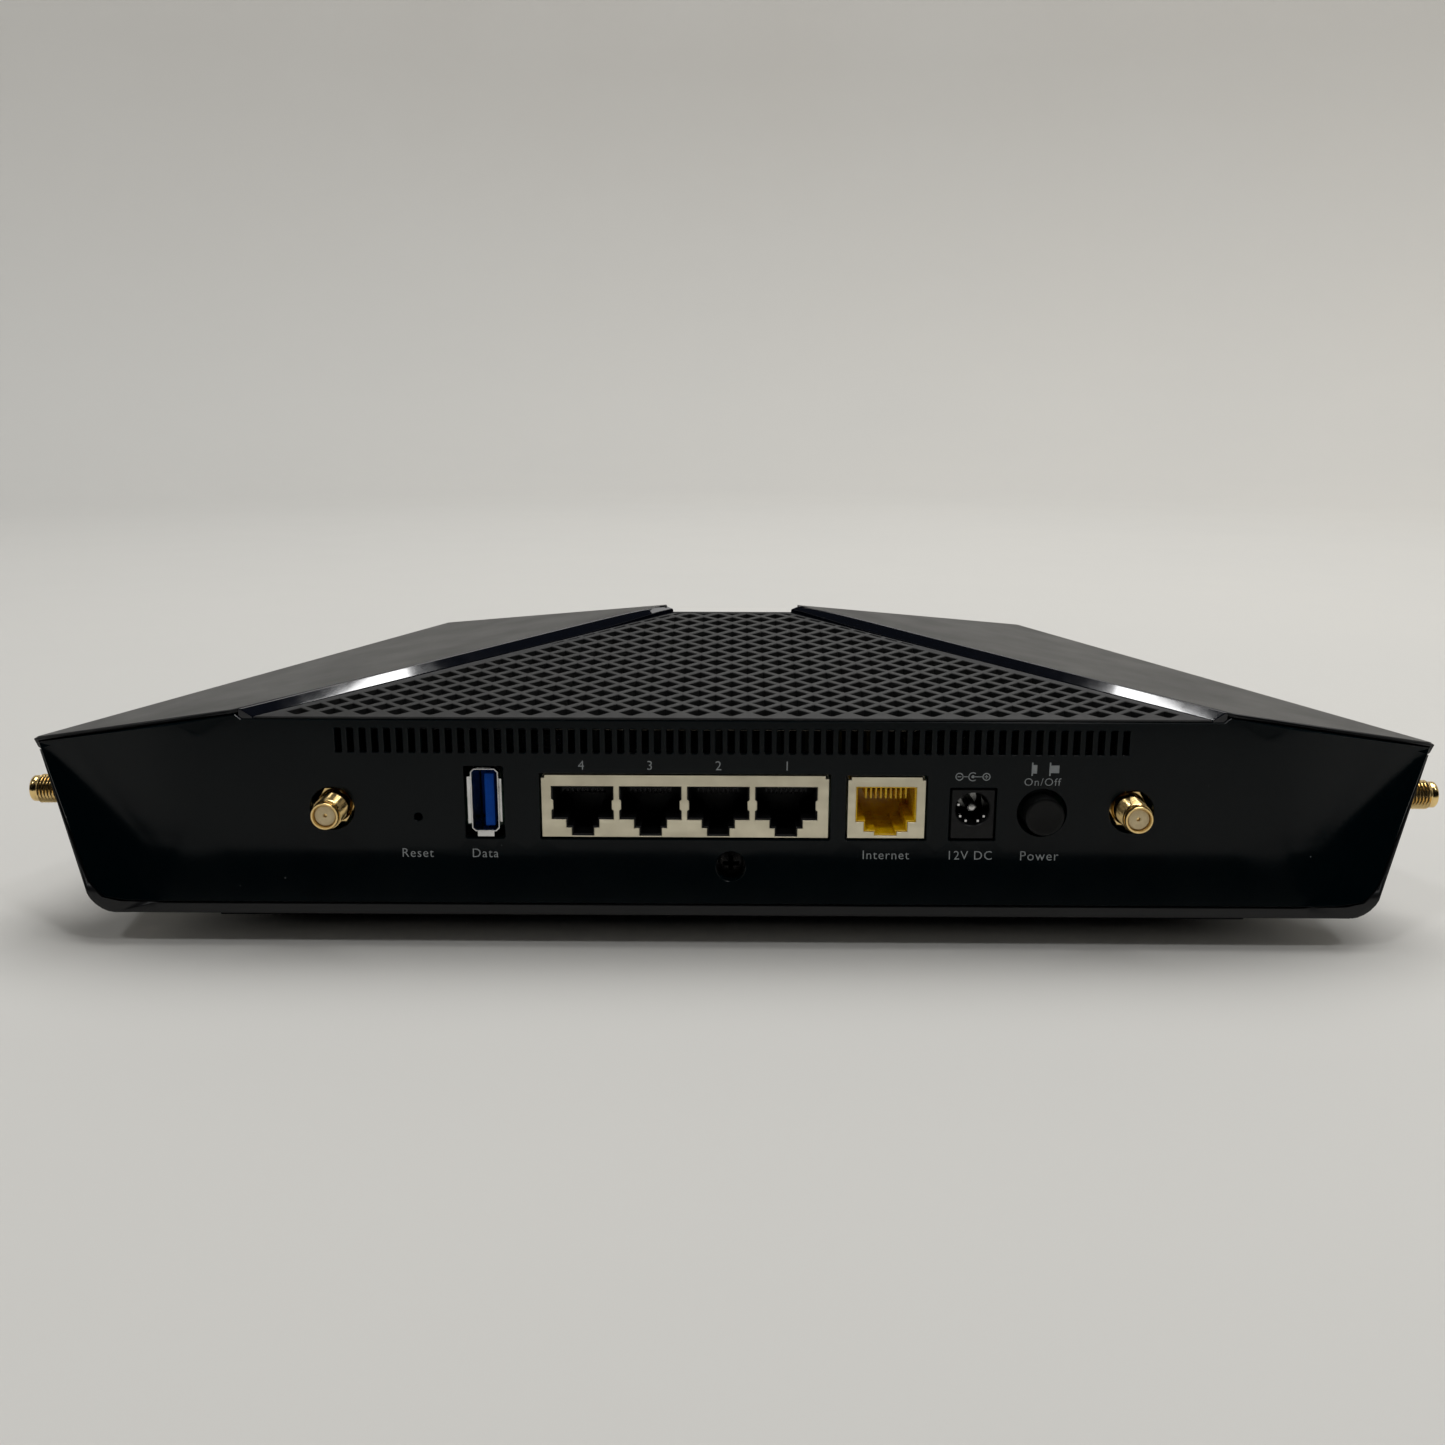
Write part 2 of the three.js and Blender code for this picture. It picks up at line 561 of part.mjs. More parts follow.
// Glossy strip filling the step between a wing and the grille.
function trimStrip(side) {
  const start = WALL + GAP;
  const end = GRILLE_RIDGE_DEPTH;
  const corners = [];
  for (const y of [start, end]) {
    const [outer] = troughPlan(GAP, y, y + 1);
    const [lip] = troughPlan(GAP + 0.6, y, y + 1);
    const [inner] = troughPlan(TRIM_WIDTH, y, y + 1);
    const wing = wingHeight(outer[0], y) - 0.15;
    const grille = GRILLE_REAR + GRILLE_SLOPE * y - (y === end ? 0.6 : 0);
    corners.push([outer[0], y, wing]);
    corners.push([lip[0], y, wing]);
    corners.push([inner[0], y, grille - 0.2]);
    corners.push([inner[0], y, grille - GRILLE_THICKNESS + 0.4]);
    corners.push([outer[0], y, grille - GRILLE_THICKNESS + 0.4]);
  }
  return hull(corners.map(([x, y, z]) => [x * side, y, z]));
}

// Height of the right-hand wing surface above a point in plan.
function wingHeight(x, y) {
  const a = new THREE.Vector3(...SHOULDER);
  const b = new THREE.Vector3(...WING_REAR);
  const c = new THREE.Vector3(...WING_TIP);
  const normal = b.clone().sub(a).cross(c.clone().sub(a));
  return a.z - (normal.x * (x - a.x) + normal.y * (y - a.y)) / normal.z;
}

// ---------------------------------------------------------------------------
// Front band: window strip, light guide, two push buttons and their board
// ---------------------------------------------------------------------------
function windowSlots(grow, low, high) {
  const [width, length] = WINDOW_SIZE;
  const slots = [];
  for (let i = 0; i < WINDOW_COUNT; i += 1) {
    const s = WINDOW_FIRST + i * WINDOW_PITCH;
    slots.push(block([-width / 2 - grow, width / 2 + grow], [s - length / 2 - grow, s + length / 2 + grow], [low, high]));
  }
  return slots;
}

function frontWindow() {
  const top = -BAND_SINK;
  let strip = prismAlongZ(bandPlan(0, 1.2, BAND_LENGTH - 0.4), top - BAND_THICKNESS, top);
  strip = strip.subtract(join(windowSlots(GAP, -6, 2)));
  for (const s of Object.values(PUSH_BUTTONS)) {
    strip = strip.subtract(rodAlongZ(0, s, PUSH_RADIUS + GAP, -6, 2, 28));
  }
  return onBand(strip);
}

function lightGuide() {
  const last = WINDOW_FIRST + (WINDOW_COUNT - 1) * WINDOW_PITCH;
  const bar = block([-6, 6], [WINDOW_FIRST - 3, last + 3], [-6.4, -BAND_SINK - BAND_THICKNESS - GAP]);
  return onBand(join([bar, ...windowSlots(0, -5, -BAND_SINK - 0.2)]));
}

function pushButton(distance) {
  const cap = rodAlongZ(0, distance, PUSH_RADIUS, -3.2, -0.3, 28);
  const stem = rodAlongZ(0, distance, 1.8, -5.4, -3, 12);
  return onBand(cap.add(stem));
}

function pushSwitch(distance) {
  return onBand(block([-3, 3], [distance - 3, distance + 3], [-9.6, -6.3]));
}

function indicatorBoard() {
  return onBand(block([-9, 9], [8, 116], [-11.4, -9.9]));
}

// Ribbon in a short loop from the underside of the indicator board to the main board.
function flatCable() {
  const half = 0.25;
  const steps = 12;
  const path = [[119, 31.6], [127, 29.4], [130, 26.6], [126, 24.6], [117, BOARD_TOP + GAP + half]];
  const curve = new THREE.CatmullRomCurve3(path.map(([y, z]) => new THREE.Vector3(0, y, z)));
  const upper = [];
  const lower = [];
  for (let i = 0; i <= steps; i += 1) {
    const point = curve.getPointAt(i / steps);
    const along = curve.getTangentAt(i / steps);
    upper.push([point.y - along.z * half, point.z + along.y * half]);
    lower.push([point.y + along.z * half, point.z - along.y * half]);
  }
  return prismAlongX([...upper, ...lower.reverse()], -6, 6);
}

// ---------------------------------------------------------------------------
// Rear connectors
// ---------------------------------------------------------------------------
// Outline of a modular jack mouth: wide upper part, two steps down for the latch.
function jackMouth(centre, grow, shape) {
  const half = [
    [shape.bottomHalf + grow, shape.bottom - grow],
    [shape.bottomHalf + grow, shape.step - grow],
    [shape.stepHalf + grow, shape.step - grow],
    [shape.stepHalf + grow, shape.shoulder - grow],
    [shape.half + grow, shape.shoulder - grow],
    [shape.half + grow, shape.top + grow],
  ];
  const right = half.map(([x, z]) => [centre + x, z]);
  const left = half.map(([x, z]) => [centre - x, z]).reverse();
  return [...right, ...left];
}

const LAN_MOUTH = { half: 6.1, top: 34.1, shoulder: 27.6, stepHalf: 3.1, step: 25.8, bottomHalf: 2, bottom: 24.6 };
const WAN_MOUTH = { half: 5.9, top: 34.2, shoulder: 27.3, stepHalf: 4.2, step: 25.2, bottomHalf: 2, bottom: 24.4 };

function jackShield(port, centres, mouth) {
  const sheet = 0.45;
  const outer = block([port.left, port.right], [JACK_FACE_DEPTH, port.deep], [port.low, port.high]);
  const inner = block(
    [port.left + sheet, port.right - sheet],
    [JACK_FACE_DEPTH + sheet, port.deep + 1],
    [port.low - 1, port.high - sheet],
  );
  const mouths = centres.map((x) => prismAlongY(jackMouth(x, GAP, mouth), -1, 3));
  return outer.subtract(inner).subtract(join(mouths));
}

function jackInsert(port, centre, width, mouth) {
  const face = JACK_FACE_DEPTH + 0.45 + GAP;
  const body = block([centre - width / 2, centre + width / 2], [face, port.deep - 0.5], [port.low, port.high - 0.75]);
  return body.subtract(prismAlongY(jackMouth(centre, 0, mouth), -1, 13.4));
}

function dataPortShell() {
  const sheet = 0.4;
  const { left, right, low, high, deep } = DATA_SHELL;
  const tube = block([left, right], [0.3, deep], [low, high]);
  const hollow = block([left + sheet, right - sheet], [-1, deep + 1], [low + sheet, high - sheet]);
  const flares = [
    block([left - 0.95, left + 0.1], [0.3, 0.7], [low + 2.5, high - 2.5]),
    block([right - 0.1, right + 0.7], [0.3, 0.7], [low + 2.5, high - 2.5]),
    block([left + 0.8, right - 1], [0.3, 0.7], [low - 1, low + 0.1]),
    block([left + 1.2, right - 1.2], [5, 12], [BOARD_TOP + GAP, low + 0.1]),
  ];
  return join([tube, ...flares]).subtract(hollow);
}

function dataPortTongue() {
  const { left, right, low, high, deep } = DATA_SHELL;
  const tongue = block([-50.7, -48.75], [1.2, deep - 3], [low + 1, high - 1]);
  const base = block([left + 0.7, right - 0.7], [deep - 4, deep - 0.5], [low + 0.7, high - 0.7]);
  return tongue.add(base);
}

function dcJackBody() {
  const { left, right, low, high, deep } = DC_BODY;
  const body = block([left, right], [0.3, deep], [low, high]);
  return body.subtract(rodAlongY(DC_BORE.x, DC_BORE.z, DC_BORE.radius, -1, 10.5, 24));
}

function dcJackPin() {
  const profile = [[0, 1.6], [0.6, 1.6], [1.05, 2.2], [1.05, 9.2], [2.2, 9.2], [2.2, 10.2], [0, 10.2]];
  return turned(profile, 16).translate([DC_BORE.x, 0, DC_BORE.z]);
}

function powerButton() {
  const { radius } = POWER_BUTTON;
  const cap = [[0, -3], [radius - 0.5, -3], [radius, -2.5], [radius, 4.5], [1.6, 4.5], [1.6, 13.4], [0, 13.4]];
  return turned(cap, 28).translate([POWER_BUTTON.x, 0, POWER_BUTTON.z]);
}

function powerSwitchBody() {
  const { x, z, travel } = POWER_BUTTON;
  const body = block([x - 4.6, x + 4.6], [11.4, 25], [BOARD_TOP + GAP, z + 4.2]);
  return body.subtract(rodAlongY(x, z, 1.6 + GAP, 10, 13.4 + travel + 0.6, 16));
}

function resetButton() {
  const profile = [[0, 3.4], [1.3, 3.4], [1.3, 5.9], [0, 5.9]];
  return turned(profile, 14).translate([RESET_HOLE.x, 0, RESET_HOLE.z]);
}

function resetSwitchBody() {
  const { x, z } = RESET_HOLE;
  const body = block([x - 3.1, x + 3.1], [5, 9.2], [BOARD_TOP + GAP, z + 3.1]);
  return body.subtract(rodAlongY(x, z, 1.3 + GAP, 4, 6.7, 14));
}

// ---------------------------------------------------------------------------
// Antenna jacks: built pointing to -Y with the tip at Y = 0
// ---------------------------------------------------------------------------
function antennaJack() {
  return turned([
    [0, 6],
    [2.35, 6],
    [2.35, 0],
    [2.8, 0],
    [2.8, 1],
    [2.6, 1.2],
    [3.175, 1.8],
    [3.175, 12.4],
    [4.6, 12.4],
    [4.6, 14],
    [2.6, 14],
    [2.6, JACK_LENGTH],
    [0, JACK_LENGTH],
  ], 14);
}

function antennaInsulator() {
  return turned([[0, 3.5], [0.35, 3.5], [0.35, 1], [2.05, 1], [2.05, 5.7], [0, 5.7]], 10);
}

function antennaNut(start) {
  const nut = new THREE.CylinderGeometry(4.3, 4.3, 1.9, 6).translate(0, start + 0.95, 0);
  return toSolid(nut).subtract(rodAlongY(0, 0, 3.175 + GAP, start - 1, start + 3, 14));
}

function placeRear(solid, side) {
  return solid.translate([side * REAR_JACK.x, REAR_JACK.tip, REAR_JACK.z]);
}

function placeSide(solid, side) {
  return solid.rotate([0, 0, side * 90]).translate([side * SIDE_JACK.tip, SIDE_JACK.y, SIDE_JACK.z]);
}

function antennaPieces() {
  const spots = { rear_left: [-1, placeRear], rear_right: [1, placeRear], side_left: [-1, placeSide], side_right: [1, placeSide] };
  for (const [label, [side, place]] of Object.entries(spots)) {
    const onRear = place === placeRear;
    piece(`antenna_jack_${label}`, place(antennaJack(), side), 'gold');
    piece(`antenna_insulator_${label}`, place(antennaInsulator(), side), 'dielectric');
    piece(`antenna_nut_${label}`, place(antennaNut(onRear ? 8.3 : 7.7), side), 'gold');
    const route = onRear ? rearLeadRoute(side) : sideLeadRoute(side);
    piece(`antenna_lead_${label}`, cable(route, 0.9, 12), 'lead_grey');
  }
}

function rearLeadRoute(side) {
  const start = REAR_JACK.tip + JACK_LENGTH + GAP;
  return [
    [side * 82, start, 29.6],
    [side * 82, start + 7, 29.4],
    [side * 77, start + 18, 27],
    [side * 66, start + 26, BOARD_TOP + 1.3],
  ];
}

function sideLeadRoute(side) {
  const start = SIDE_JACK.tip - JACK_LENGTH - GAP;
  return [
    [side * start, 15.9, 28.9],
    [side * (start - 8), 17, 29.4],
    [side * 104, 44, 30],
    [side * 92, 58, 27.5],
    [side * 80, 62, BOARD_TOP + 1.3],
  ];
}

// ---------------------------------------------------------------------------
// Inner pieces, feet and screws
// ---------------------------------------------------------------------------
function mainBoard() {
  const low = BOARD_TOP - BOARD_THICKNESS;
  let board = prismAlongZ([[-112, 9], [-112, 60], [-84, 150], [84, 150], [112, 60], [112, 9]], low, BOARD_TOP);
  board = board.subtract(block([-8, 8], [8, 14], [20, 25]));
  for (const [x, y] of CASE_SCREWS) {
    board = board.subtract(rodAlongZ(x, y, 2.2, 20, 25, 12));
  }
  return board;
}

function heatSink() {
  const low = BOARD_TOP + 2.4;
  const fins = [block([-34, 34], [44, 104], [low, low + 3])];
  for (let i = 0; i < 10; i += 1) {
    const x = -33 + i * 7.2;
    fins.push(block([x, x + 1.4], [44, 104], [low + 2.5, low + 10]));
  }
  return join(fins);
}

function foot([x, y]) {
  const top = PLINTH_BOTTOM + 1 - GAP;
  const profile = [[0, 0], [FOOT_RADIUS - 0.6, 0], [FOOT_RADIUS, 0.6], [FOOT_RADIUS, top], [0, top]];
  return turned(profile, 20).rotate([90, 0, 0]).translate([x, y, 0]);
}

function caseScrew([x, y]) {
  const head = rodAlongZ(x, y, 3.1, 3.4, 5.2, 12);
  return head.add(rodAlongZ(x, y, 1.45, 5, 32, 8));
}

function rearScrew() {
  const head = turned([[0, 1.2], [2.2, 1.2], [2.7, 1.7], [2.7, 2.7], [1.4, 2.7], [1.4, 11], [0, 11]], 20);
  const cross = join([block([-1.5, 1.5], [0, 2.1], [-0.35, 0.35]), block([-0.35, 0.35], [0, 2.1], [-1.5, 1.5])]);
  return head.subtract(cross).translate([REAR_SCREW.x, 0, REAR_SCREW.z]);
}

// ---------------------------------------------------------------------------
// Assembly
// ---------------------------------------------------------------------------
piece('bottom_case', bottomCase(), 'satin_black');
piece('rear_panel', rearPanel(), 'panel_black');
piece('top_cover', topCover(), 'satin_black');
piece('vent_grille', ventGrille(), 'grille_black');
piece('trim_strip_left', trimStrip(-1), 'gloss_black');
piece('trim_strip_right', trimStrip(1), 'gloss_black');

piece('front_window', frontWindow(), 'smoked_black');
piece('light_guide', lightGuide(), 'frosted');
for (const [name, distance] of Object.entries(PUSH_BUTTONS)) {
  piece(name, pushButton(distance), 'button_black');
  piece(name.replace('button', 'switch_body'), pushSwitch(distance), 'insert_black');
}
piece('indicator_board', indicatorBoard(), 'board_green');
piece('flat_cable', flatCable(), 'cable_white');

piece('lan_jack_shield', jackShield(LAN_SHIELD, LAN_CENTRES, LAN_MOUTH), 'jack_steel');
LAN_CENTRES.forEach((x, i) => {
  piece(`lan_jack_insert_${4 - i}`, jackInsert(LAN_SHIELD, x, 13.4, LAN_MOUTH), 'insert_black');
});
piece('wan_jack_shield', jackShield(WAN_SHIELD, [WAN_CENTRE], WAN_MOUTH), 'jack_steel');
piece('wan_jack_insert', jackInsert(WAN_SHIELD, WAN_CENTRE, 14.3, WAN_MOUTH), 'insert_yellow');
piece('data_port_shell', dataPortShell(), 'jack_steel');
piece('data_port_tongue', dataPortTongue(), 'tongue_blue');
piece('dc_jack_body', dcJackBody(), 'insert_black');
piece('dc_jack_pin', dcJackPin(), 'tin');
piece('power_button', powerButton(), 'button_black');
piece('power_switch_body', powerSwitchBody(), 'insert_black');
piece('reset_button', resetButton(), 'button_black');
piece('reset_switch_body', resetSwitchBody(), 'tin');

antennaPieces();

piece('main_board', mainBoard(), 'board_green');
piece('processor_chip', block([-14, 14], [58, 86], [BOARD_TOP + GAP, BOARD_TOP + 2.1]), 'chip_black');
piece('heat_sink', heatSink(), 'aluminium');
piece('radio_shield_left', block([-76, -44], [72, 112], [BOARD_TOP + GAP, BOARD_TOP + 4]), 'tin');
piece('radio_shield_right', block([44, 76], [72, 112], [BOARD_TOP + GAP, BOARD_TOP + 4]), 'tin');

FOOT_CENTRES.forEach((centre, i) => piece(`foot_${i + 1}`, foot(centre), 'foot_rubber'));
CASE_SCREWS.forEach((centre, i) => piece(`case_screw_${i + 1}`, caseScrew(centre), 'screw_black'));
piece('rear_screw', rearScrew(), 'screw_black');

export default group;
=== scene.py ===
"""Wireless router seen from its connector side: pieces over the CAD frame, finishes, light, camera.

Driving values are in millimetres. Depth is measured forward from the rear face, as in the CAD
source, and at() turns (x, depth, height) into Blender's metres in the shared frame.
"""
import json
import math

import bmesh
import bpy
from mathutils import Matrix, Vector
from mathutils.geometry import delaunay_2d_cdt


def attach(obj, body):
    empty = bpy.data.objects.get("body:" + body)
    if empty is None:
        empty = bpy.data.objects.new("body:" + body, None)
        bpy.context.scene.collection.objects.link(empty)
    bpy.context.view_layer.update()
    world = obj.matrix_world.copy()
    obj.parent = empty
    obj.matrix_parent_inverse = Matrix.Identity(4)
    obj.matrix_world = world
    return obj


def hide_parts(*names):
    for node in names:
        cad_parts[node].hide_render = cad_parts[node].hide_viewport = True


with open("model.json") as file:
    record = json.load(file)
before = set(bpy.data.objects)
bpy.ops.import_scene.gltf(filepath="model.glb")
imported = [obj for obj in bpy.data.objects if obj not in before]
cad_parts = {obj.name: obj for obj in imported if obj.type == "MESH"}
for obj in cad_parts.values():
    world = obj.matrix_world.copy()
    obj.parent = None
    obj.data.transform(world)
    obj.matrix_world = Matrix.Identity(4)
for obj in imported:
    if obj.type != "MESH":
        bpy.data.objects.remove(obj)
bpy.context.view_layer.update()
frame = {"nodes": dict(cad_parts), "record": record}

# ---- Driving values, millimetres unless a comment says otherwise
MM = 0.001
DEPTH_SHIFT = -97.0                 # frame Y of the rear face
GAP = 0.3

SHOULDER = (147.0, 9.3, 42.0)       # corner points of the body: x, depth, height
WING_REAR = (101.0, 0.0, 50.4)
WING_TIP = (16.0, 58.0, 63.7)
CREASE_FOOT = (121.0, -1.5, 11.0)
FLOOR_CORNER = (134.0, -1.2, 11.0)
WEDGE_HEAD = (121.0, 1.85, 25.4)    # where the wedge beside the crease meets the wall

WALL = 2.4
WALL_BEND = {"start": 115.0, "slope": 0.29, "width": 3.0}
SWEEP_TOP = 21.5                    # below this the wall sweeps outwards
SWEEP_SLOPE = 0.178
SWEEP_ROUNDING = 0.22
CORNER_START = (104.0, 15.0)        # x and height where the top of the sweep gets rounder
CORNER_RUN = (12.0, 8.0)            # distances over which it does
CORNER_ROUNDING = 2.2               # share by which it does
CREASE_RUN = 9.0                    # within this distance of the crease it gets sharper
LOWER_BEND = (127.8, 14.4)          # middle of the rounded lower corner of the panel
LOWER_BEND_RADII = (4.6, 4.4)
UPPER_CORNER_X = 145.9
PANEL_BOTTOM = 9.9
PANEL_CHAMFER = 0.15
COVER_LIP = 1.1

GRILLE_REAR = 48.8
GRILLE_SLOPE = 0.226
GRILLE_ROUNDING_START = 47.0
GRILLE_RIDGE = 57.0
GRILLE_RIDGE_DROP = 0.25
GRILLE_THICKNESS = 1.8
GRILLE_STEP_HALF = 99.4             # half width of the panel's lowered top edge
DIAMOND_PITCH = (6.81, 4.49)        # across, and from one row to the next but one
DIAMOND_HALF = (2.45, 1.58)
DIAMOND_ROWS = 25
DIAMOND_FIRST_ROW = 2.9
DIAMOND_BORDER = 0.7
TRIM_WIDTH = 1.8
TRIM_NOSE_START = 44.0              # forward of this depth the trim strips narrow and round off

SLOT_COUNT = 65
SLOT_PITCH = 2.5
SLOT_WIDTH = 1.35
SLOT_HEIGHTS = (41.5, 46.6)

LAN_CENTRES = (-30.55, -16.58, -2.61, 11.36)
LAN_FACE = (-39.0, 20.1, 23.5, 36.9)          # left, right, low, high
WAN_FACE = (23.9, 39.9, 23.5, 36.7)
WAN_CENTRE = 31.85
DATA_CUTOUT = (-54.75, -46.65, 23.25, 38.65)
DATA_FACE = (-53.45, -47.65, 24.65, 38.15)
DC_FACE = (45.1, 54.1, 23.5, 34.2)
DC_BORE = (49.6, 29.9, 3.5)                    # x, height, radius
POWER_BUTTON = (63.7, 29.3, 4.0, 5.0)          # x, height, cap radius, hole radius
RESET_HOLE = (-64.4, 27.8, 0.85)
REAR_SCREW = (0.0, 17.6, 3.05)
REAR_JACK = (82.0, 29.6)
JACK_HOLE_RADIUS = 4.5
JACK_TIP_DEPTH = -5.8
JACK_LENGTH = 17.5
SIDE_JACK = (15.9, 28.9, 151.3)                # depth, height, tip x
JACK_FACE_DEPTH = 0.4
JACK_DEEP = 16.0
CONTACT_PITCH = 1.02
THREAD_PITCH = 0.706
THREAD_RADIUS = 3.175

# modular jack mouths: half width, top, shoulder, step half width, step, latch slot's half width
# and bottom
LAN_MOUTH = (6.1, 34.1, 27.6, 3.1, 25.8, 2.0, 24.1)
WAN_MOUTH = (5.9, 34.2, 27.3, 4.2, 25.2, 2.0, 24.4)

FOOT_CENTRES = ((94, 26), (-94, 26), (62, 165), (-62, 165))
CASE_SCREWS = ((104, 32), (-104, 32), (70, 140), (-70, 140))

CASE_FLARE = 0.9                    # the case wall stands out this much more than the solid
CASE_FLARE_FROM = (100.0, 8.0)      # x and height where it starts to
CASE_FLARE_RUN = (30.0, 6.0)
TIP_DROP = 0.55                     # the wing tips beside the ridge are this much lower
BAND_DIP = 1.4                      # the front band starts this much lower at the ridge
BAND_DIP_LENGTH = 11.0              # that drop fades out over this length

# print beside the connectors: words, middle x, height range
LABELS = (
    ("4", -30.6, (38.1, 40.0)),
    ("3", -16.6, (38.1, 40.0)),
    ("2", -2.6, (38.1, 40.0)),
    ("1", 11.4, (38.1, 40.0)),
    ("Reset", -64.7, (19.3, 21.1)),
    ("Data", -50.7, (19.3, 21.1)),
    ("Internet", 32.0, (19.3, 21.1)),
    ("12V DC", 49.4, (19.3, 21.1)),
    ("Power", 63.6, (19.2, 21.1)),
    ("On/Off", 63.5, (35.1, 36.7)),
)

CAMERA_PLACE = (0.00043, -0.36486, 0.11324)    # metres
CAMERA_PITCH = 13.669                          # degrees down
CAMERA_YAW = -0.473
CAMERA_ROLL = -0.130
CAMERA_LENS = 34.0


def at(x, depth, height):
    return Vector((x, depth + DEPTH_SHIFT, height)) * MM


def clamp(value, low=0.0):
    return min(max(value, low), 1.0)


def circle(x, z, radius, sides):
    turns = [2 * math.pi * i / sides for i in range(sides)]
    return [(x + radius * math.cos(t), z + radius * math.sin(t)) for t in turns]


def box_corners(x, z):
    """Corners of the rectangle between two x and two z values, anticlockwise."""
    return [(x[0], z[0]), (x[1], z[0]), (x[1], z[1]), (x[0], z[1])]


def show(thing):
    bpy.context.scene.collection.objects.link(thing)


def mesh_object(name, mesh, materials):
    """Turn a finished bmesh into an object of the scene."""
    data = bpy.data.meshes.new(name)
    mesh.to_mesh(data)
    mesh.free()
    for material in materials:
        data.materials.append(material)
    made = bpy.data.objects.new(name, data)
    show(made)
    return made


# ---- Camera, stage and light
def make_camera():
    pitch, yaw, roll = (math.radians(v) for v in (CAMERA_PITCH, CAMERA_YAW, CAMERA_ROLL))
    forward = Vector((
        math.sin(yaw) * math.cos(pitch),
        math.cos(yaw) * math.cos(pitch),
        -math.sin(pitch),
    ))
    level = Vector((math.cos(yaw), -math.sin(yaw), 0.0))
    down = forward.cross(level)
    right = level * math.cos(roll) + down * math.sin(roll)
    up = right.cross(forward)
    turn = Matrix((right, up, -forward)).transposed()
    data = bpy.data.cameras.new("camera")
    data.sensor_width = 36.0
    data.lens = CAMERA_LENS
    data.clip_start = 0.01
    camera = bpy.data.objects.new("camera", data)
    camera.matrix_world = Matrix.Translation(CAMERA_PLACE) @ turn.to_4x4()
    show(camera)
    bpy.context.scene.camera = camera


def make_stage(look):
    """A round studio sweep: a flat floor that curves up into a low wall all round."""
    floor_radius, curve_radius, wall_top = 1.15, 0.55, 1.5
    steps, sides = 12, 96
    profile = [(0.02, 0.0), (0.5, 0.0), (floor_radius, 0.0)]
    for step in range(1, steps + 1):
        angle = math.radians(90 * step / steps)
        along, up = math.sin(angle), 1 - math.cos(angle)
        profile.append((floor_radius + curve_radius * along, curve_radius * up))
    profile.append((floor_radius + curve_radius, wall_top))
    mesh = bmesh.new()
    rings = []
    for radius, height in profile:
        rings.append([mesh.verts.new((x, y, height)) for x, y in circle(0.0, 0.0, radius, sides)])
    mesh.faces.new(rings[0])
    for low, high in zip(rings, rings[1:]):
        for i in range(sides):
            j = (i + 1) % sides
            mesh.faces.new((low[i], low[j], high[j], high[i]))
    sweep = mesh_object("studio_sweep", mesh, [look])
    sweep.data.shade_smooth()


def make_dark_cards(look):
    """Dark cards before the camera, themselves unseen: the lower rear face mirrors the tall one,
    and the low one keeps light from the gap below the case."""
    width, low = 1.2, 0.0005
    cards = (("tall_card", 0.36, -0.31, True), ("low_card", 0.11, -0.315, False))
    for name, high, away, mirrored in cards:
        corners = [(x, away, z) for x, z in box_corners((-width, width), (low, high))]
        data = bpy.data.meshes.new(name)
        data.from_pydata(corners, [], [(0, 1, 2, 3)])
        data.materials.append(look)
        card = bpy.data.objects.new(name, data)
        card.visible_camera = False
        card.visible_shadow = False
        card.visible_glossy = mirrored
        card.visible_diffuse = not mirrored
        show(card)


def area_light(name, place, aim, size, power, warmth=0.0):
    """Rectangular light, in metres and watts; a warmth of 1 is a faint yellow."""
    data = bpy.data.lights.new(name, "AREA")
    data.shape = "RECTANGLE"
    data.size, data.size_y = size
    data.energy = power
    data.color = (1.0, 1.0 - 0.04 * warmth, 1.0 - 0.1 * warmth)
    light = bpy.data.objects.new(name, data)
    light.location = place
    light.rotation_euler = (Vector(aim) - Vector(place)).to_track_quat("-Z", "Y").to_euler()
    show(light)


def make_light():
    world = bpy.data.worlds.new("studio")
    bpy.context.scene.world = world
    world.use_nodes = True
    background = world.node_tree.nodes["Background"]
    background.inputs["Color"].default_value = (1.0, 1.0, 1.0, 1.0)
    background.inputs["Strength"].default_value = 0.05
    area_light("ceiling", (0.3, 0.45, 1.9), (0.1, 0.2, 0.0), (1.7, 1.4), 33.6, 0.3)
    for x, away in ((0.70, -0.68), (-0.62, -0.715)):
        area_light("lamp", (x, away, 1.4), (0.0, -0.08, 0.05), (0.15, 0.15), 2.5)
    view = bpy.context.scene.view_settings
    view.view_transform = "Standard"
    view.look = "None"


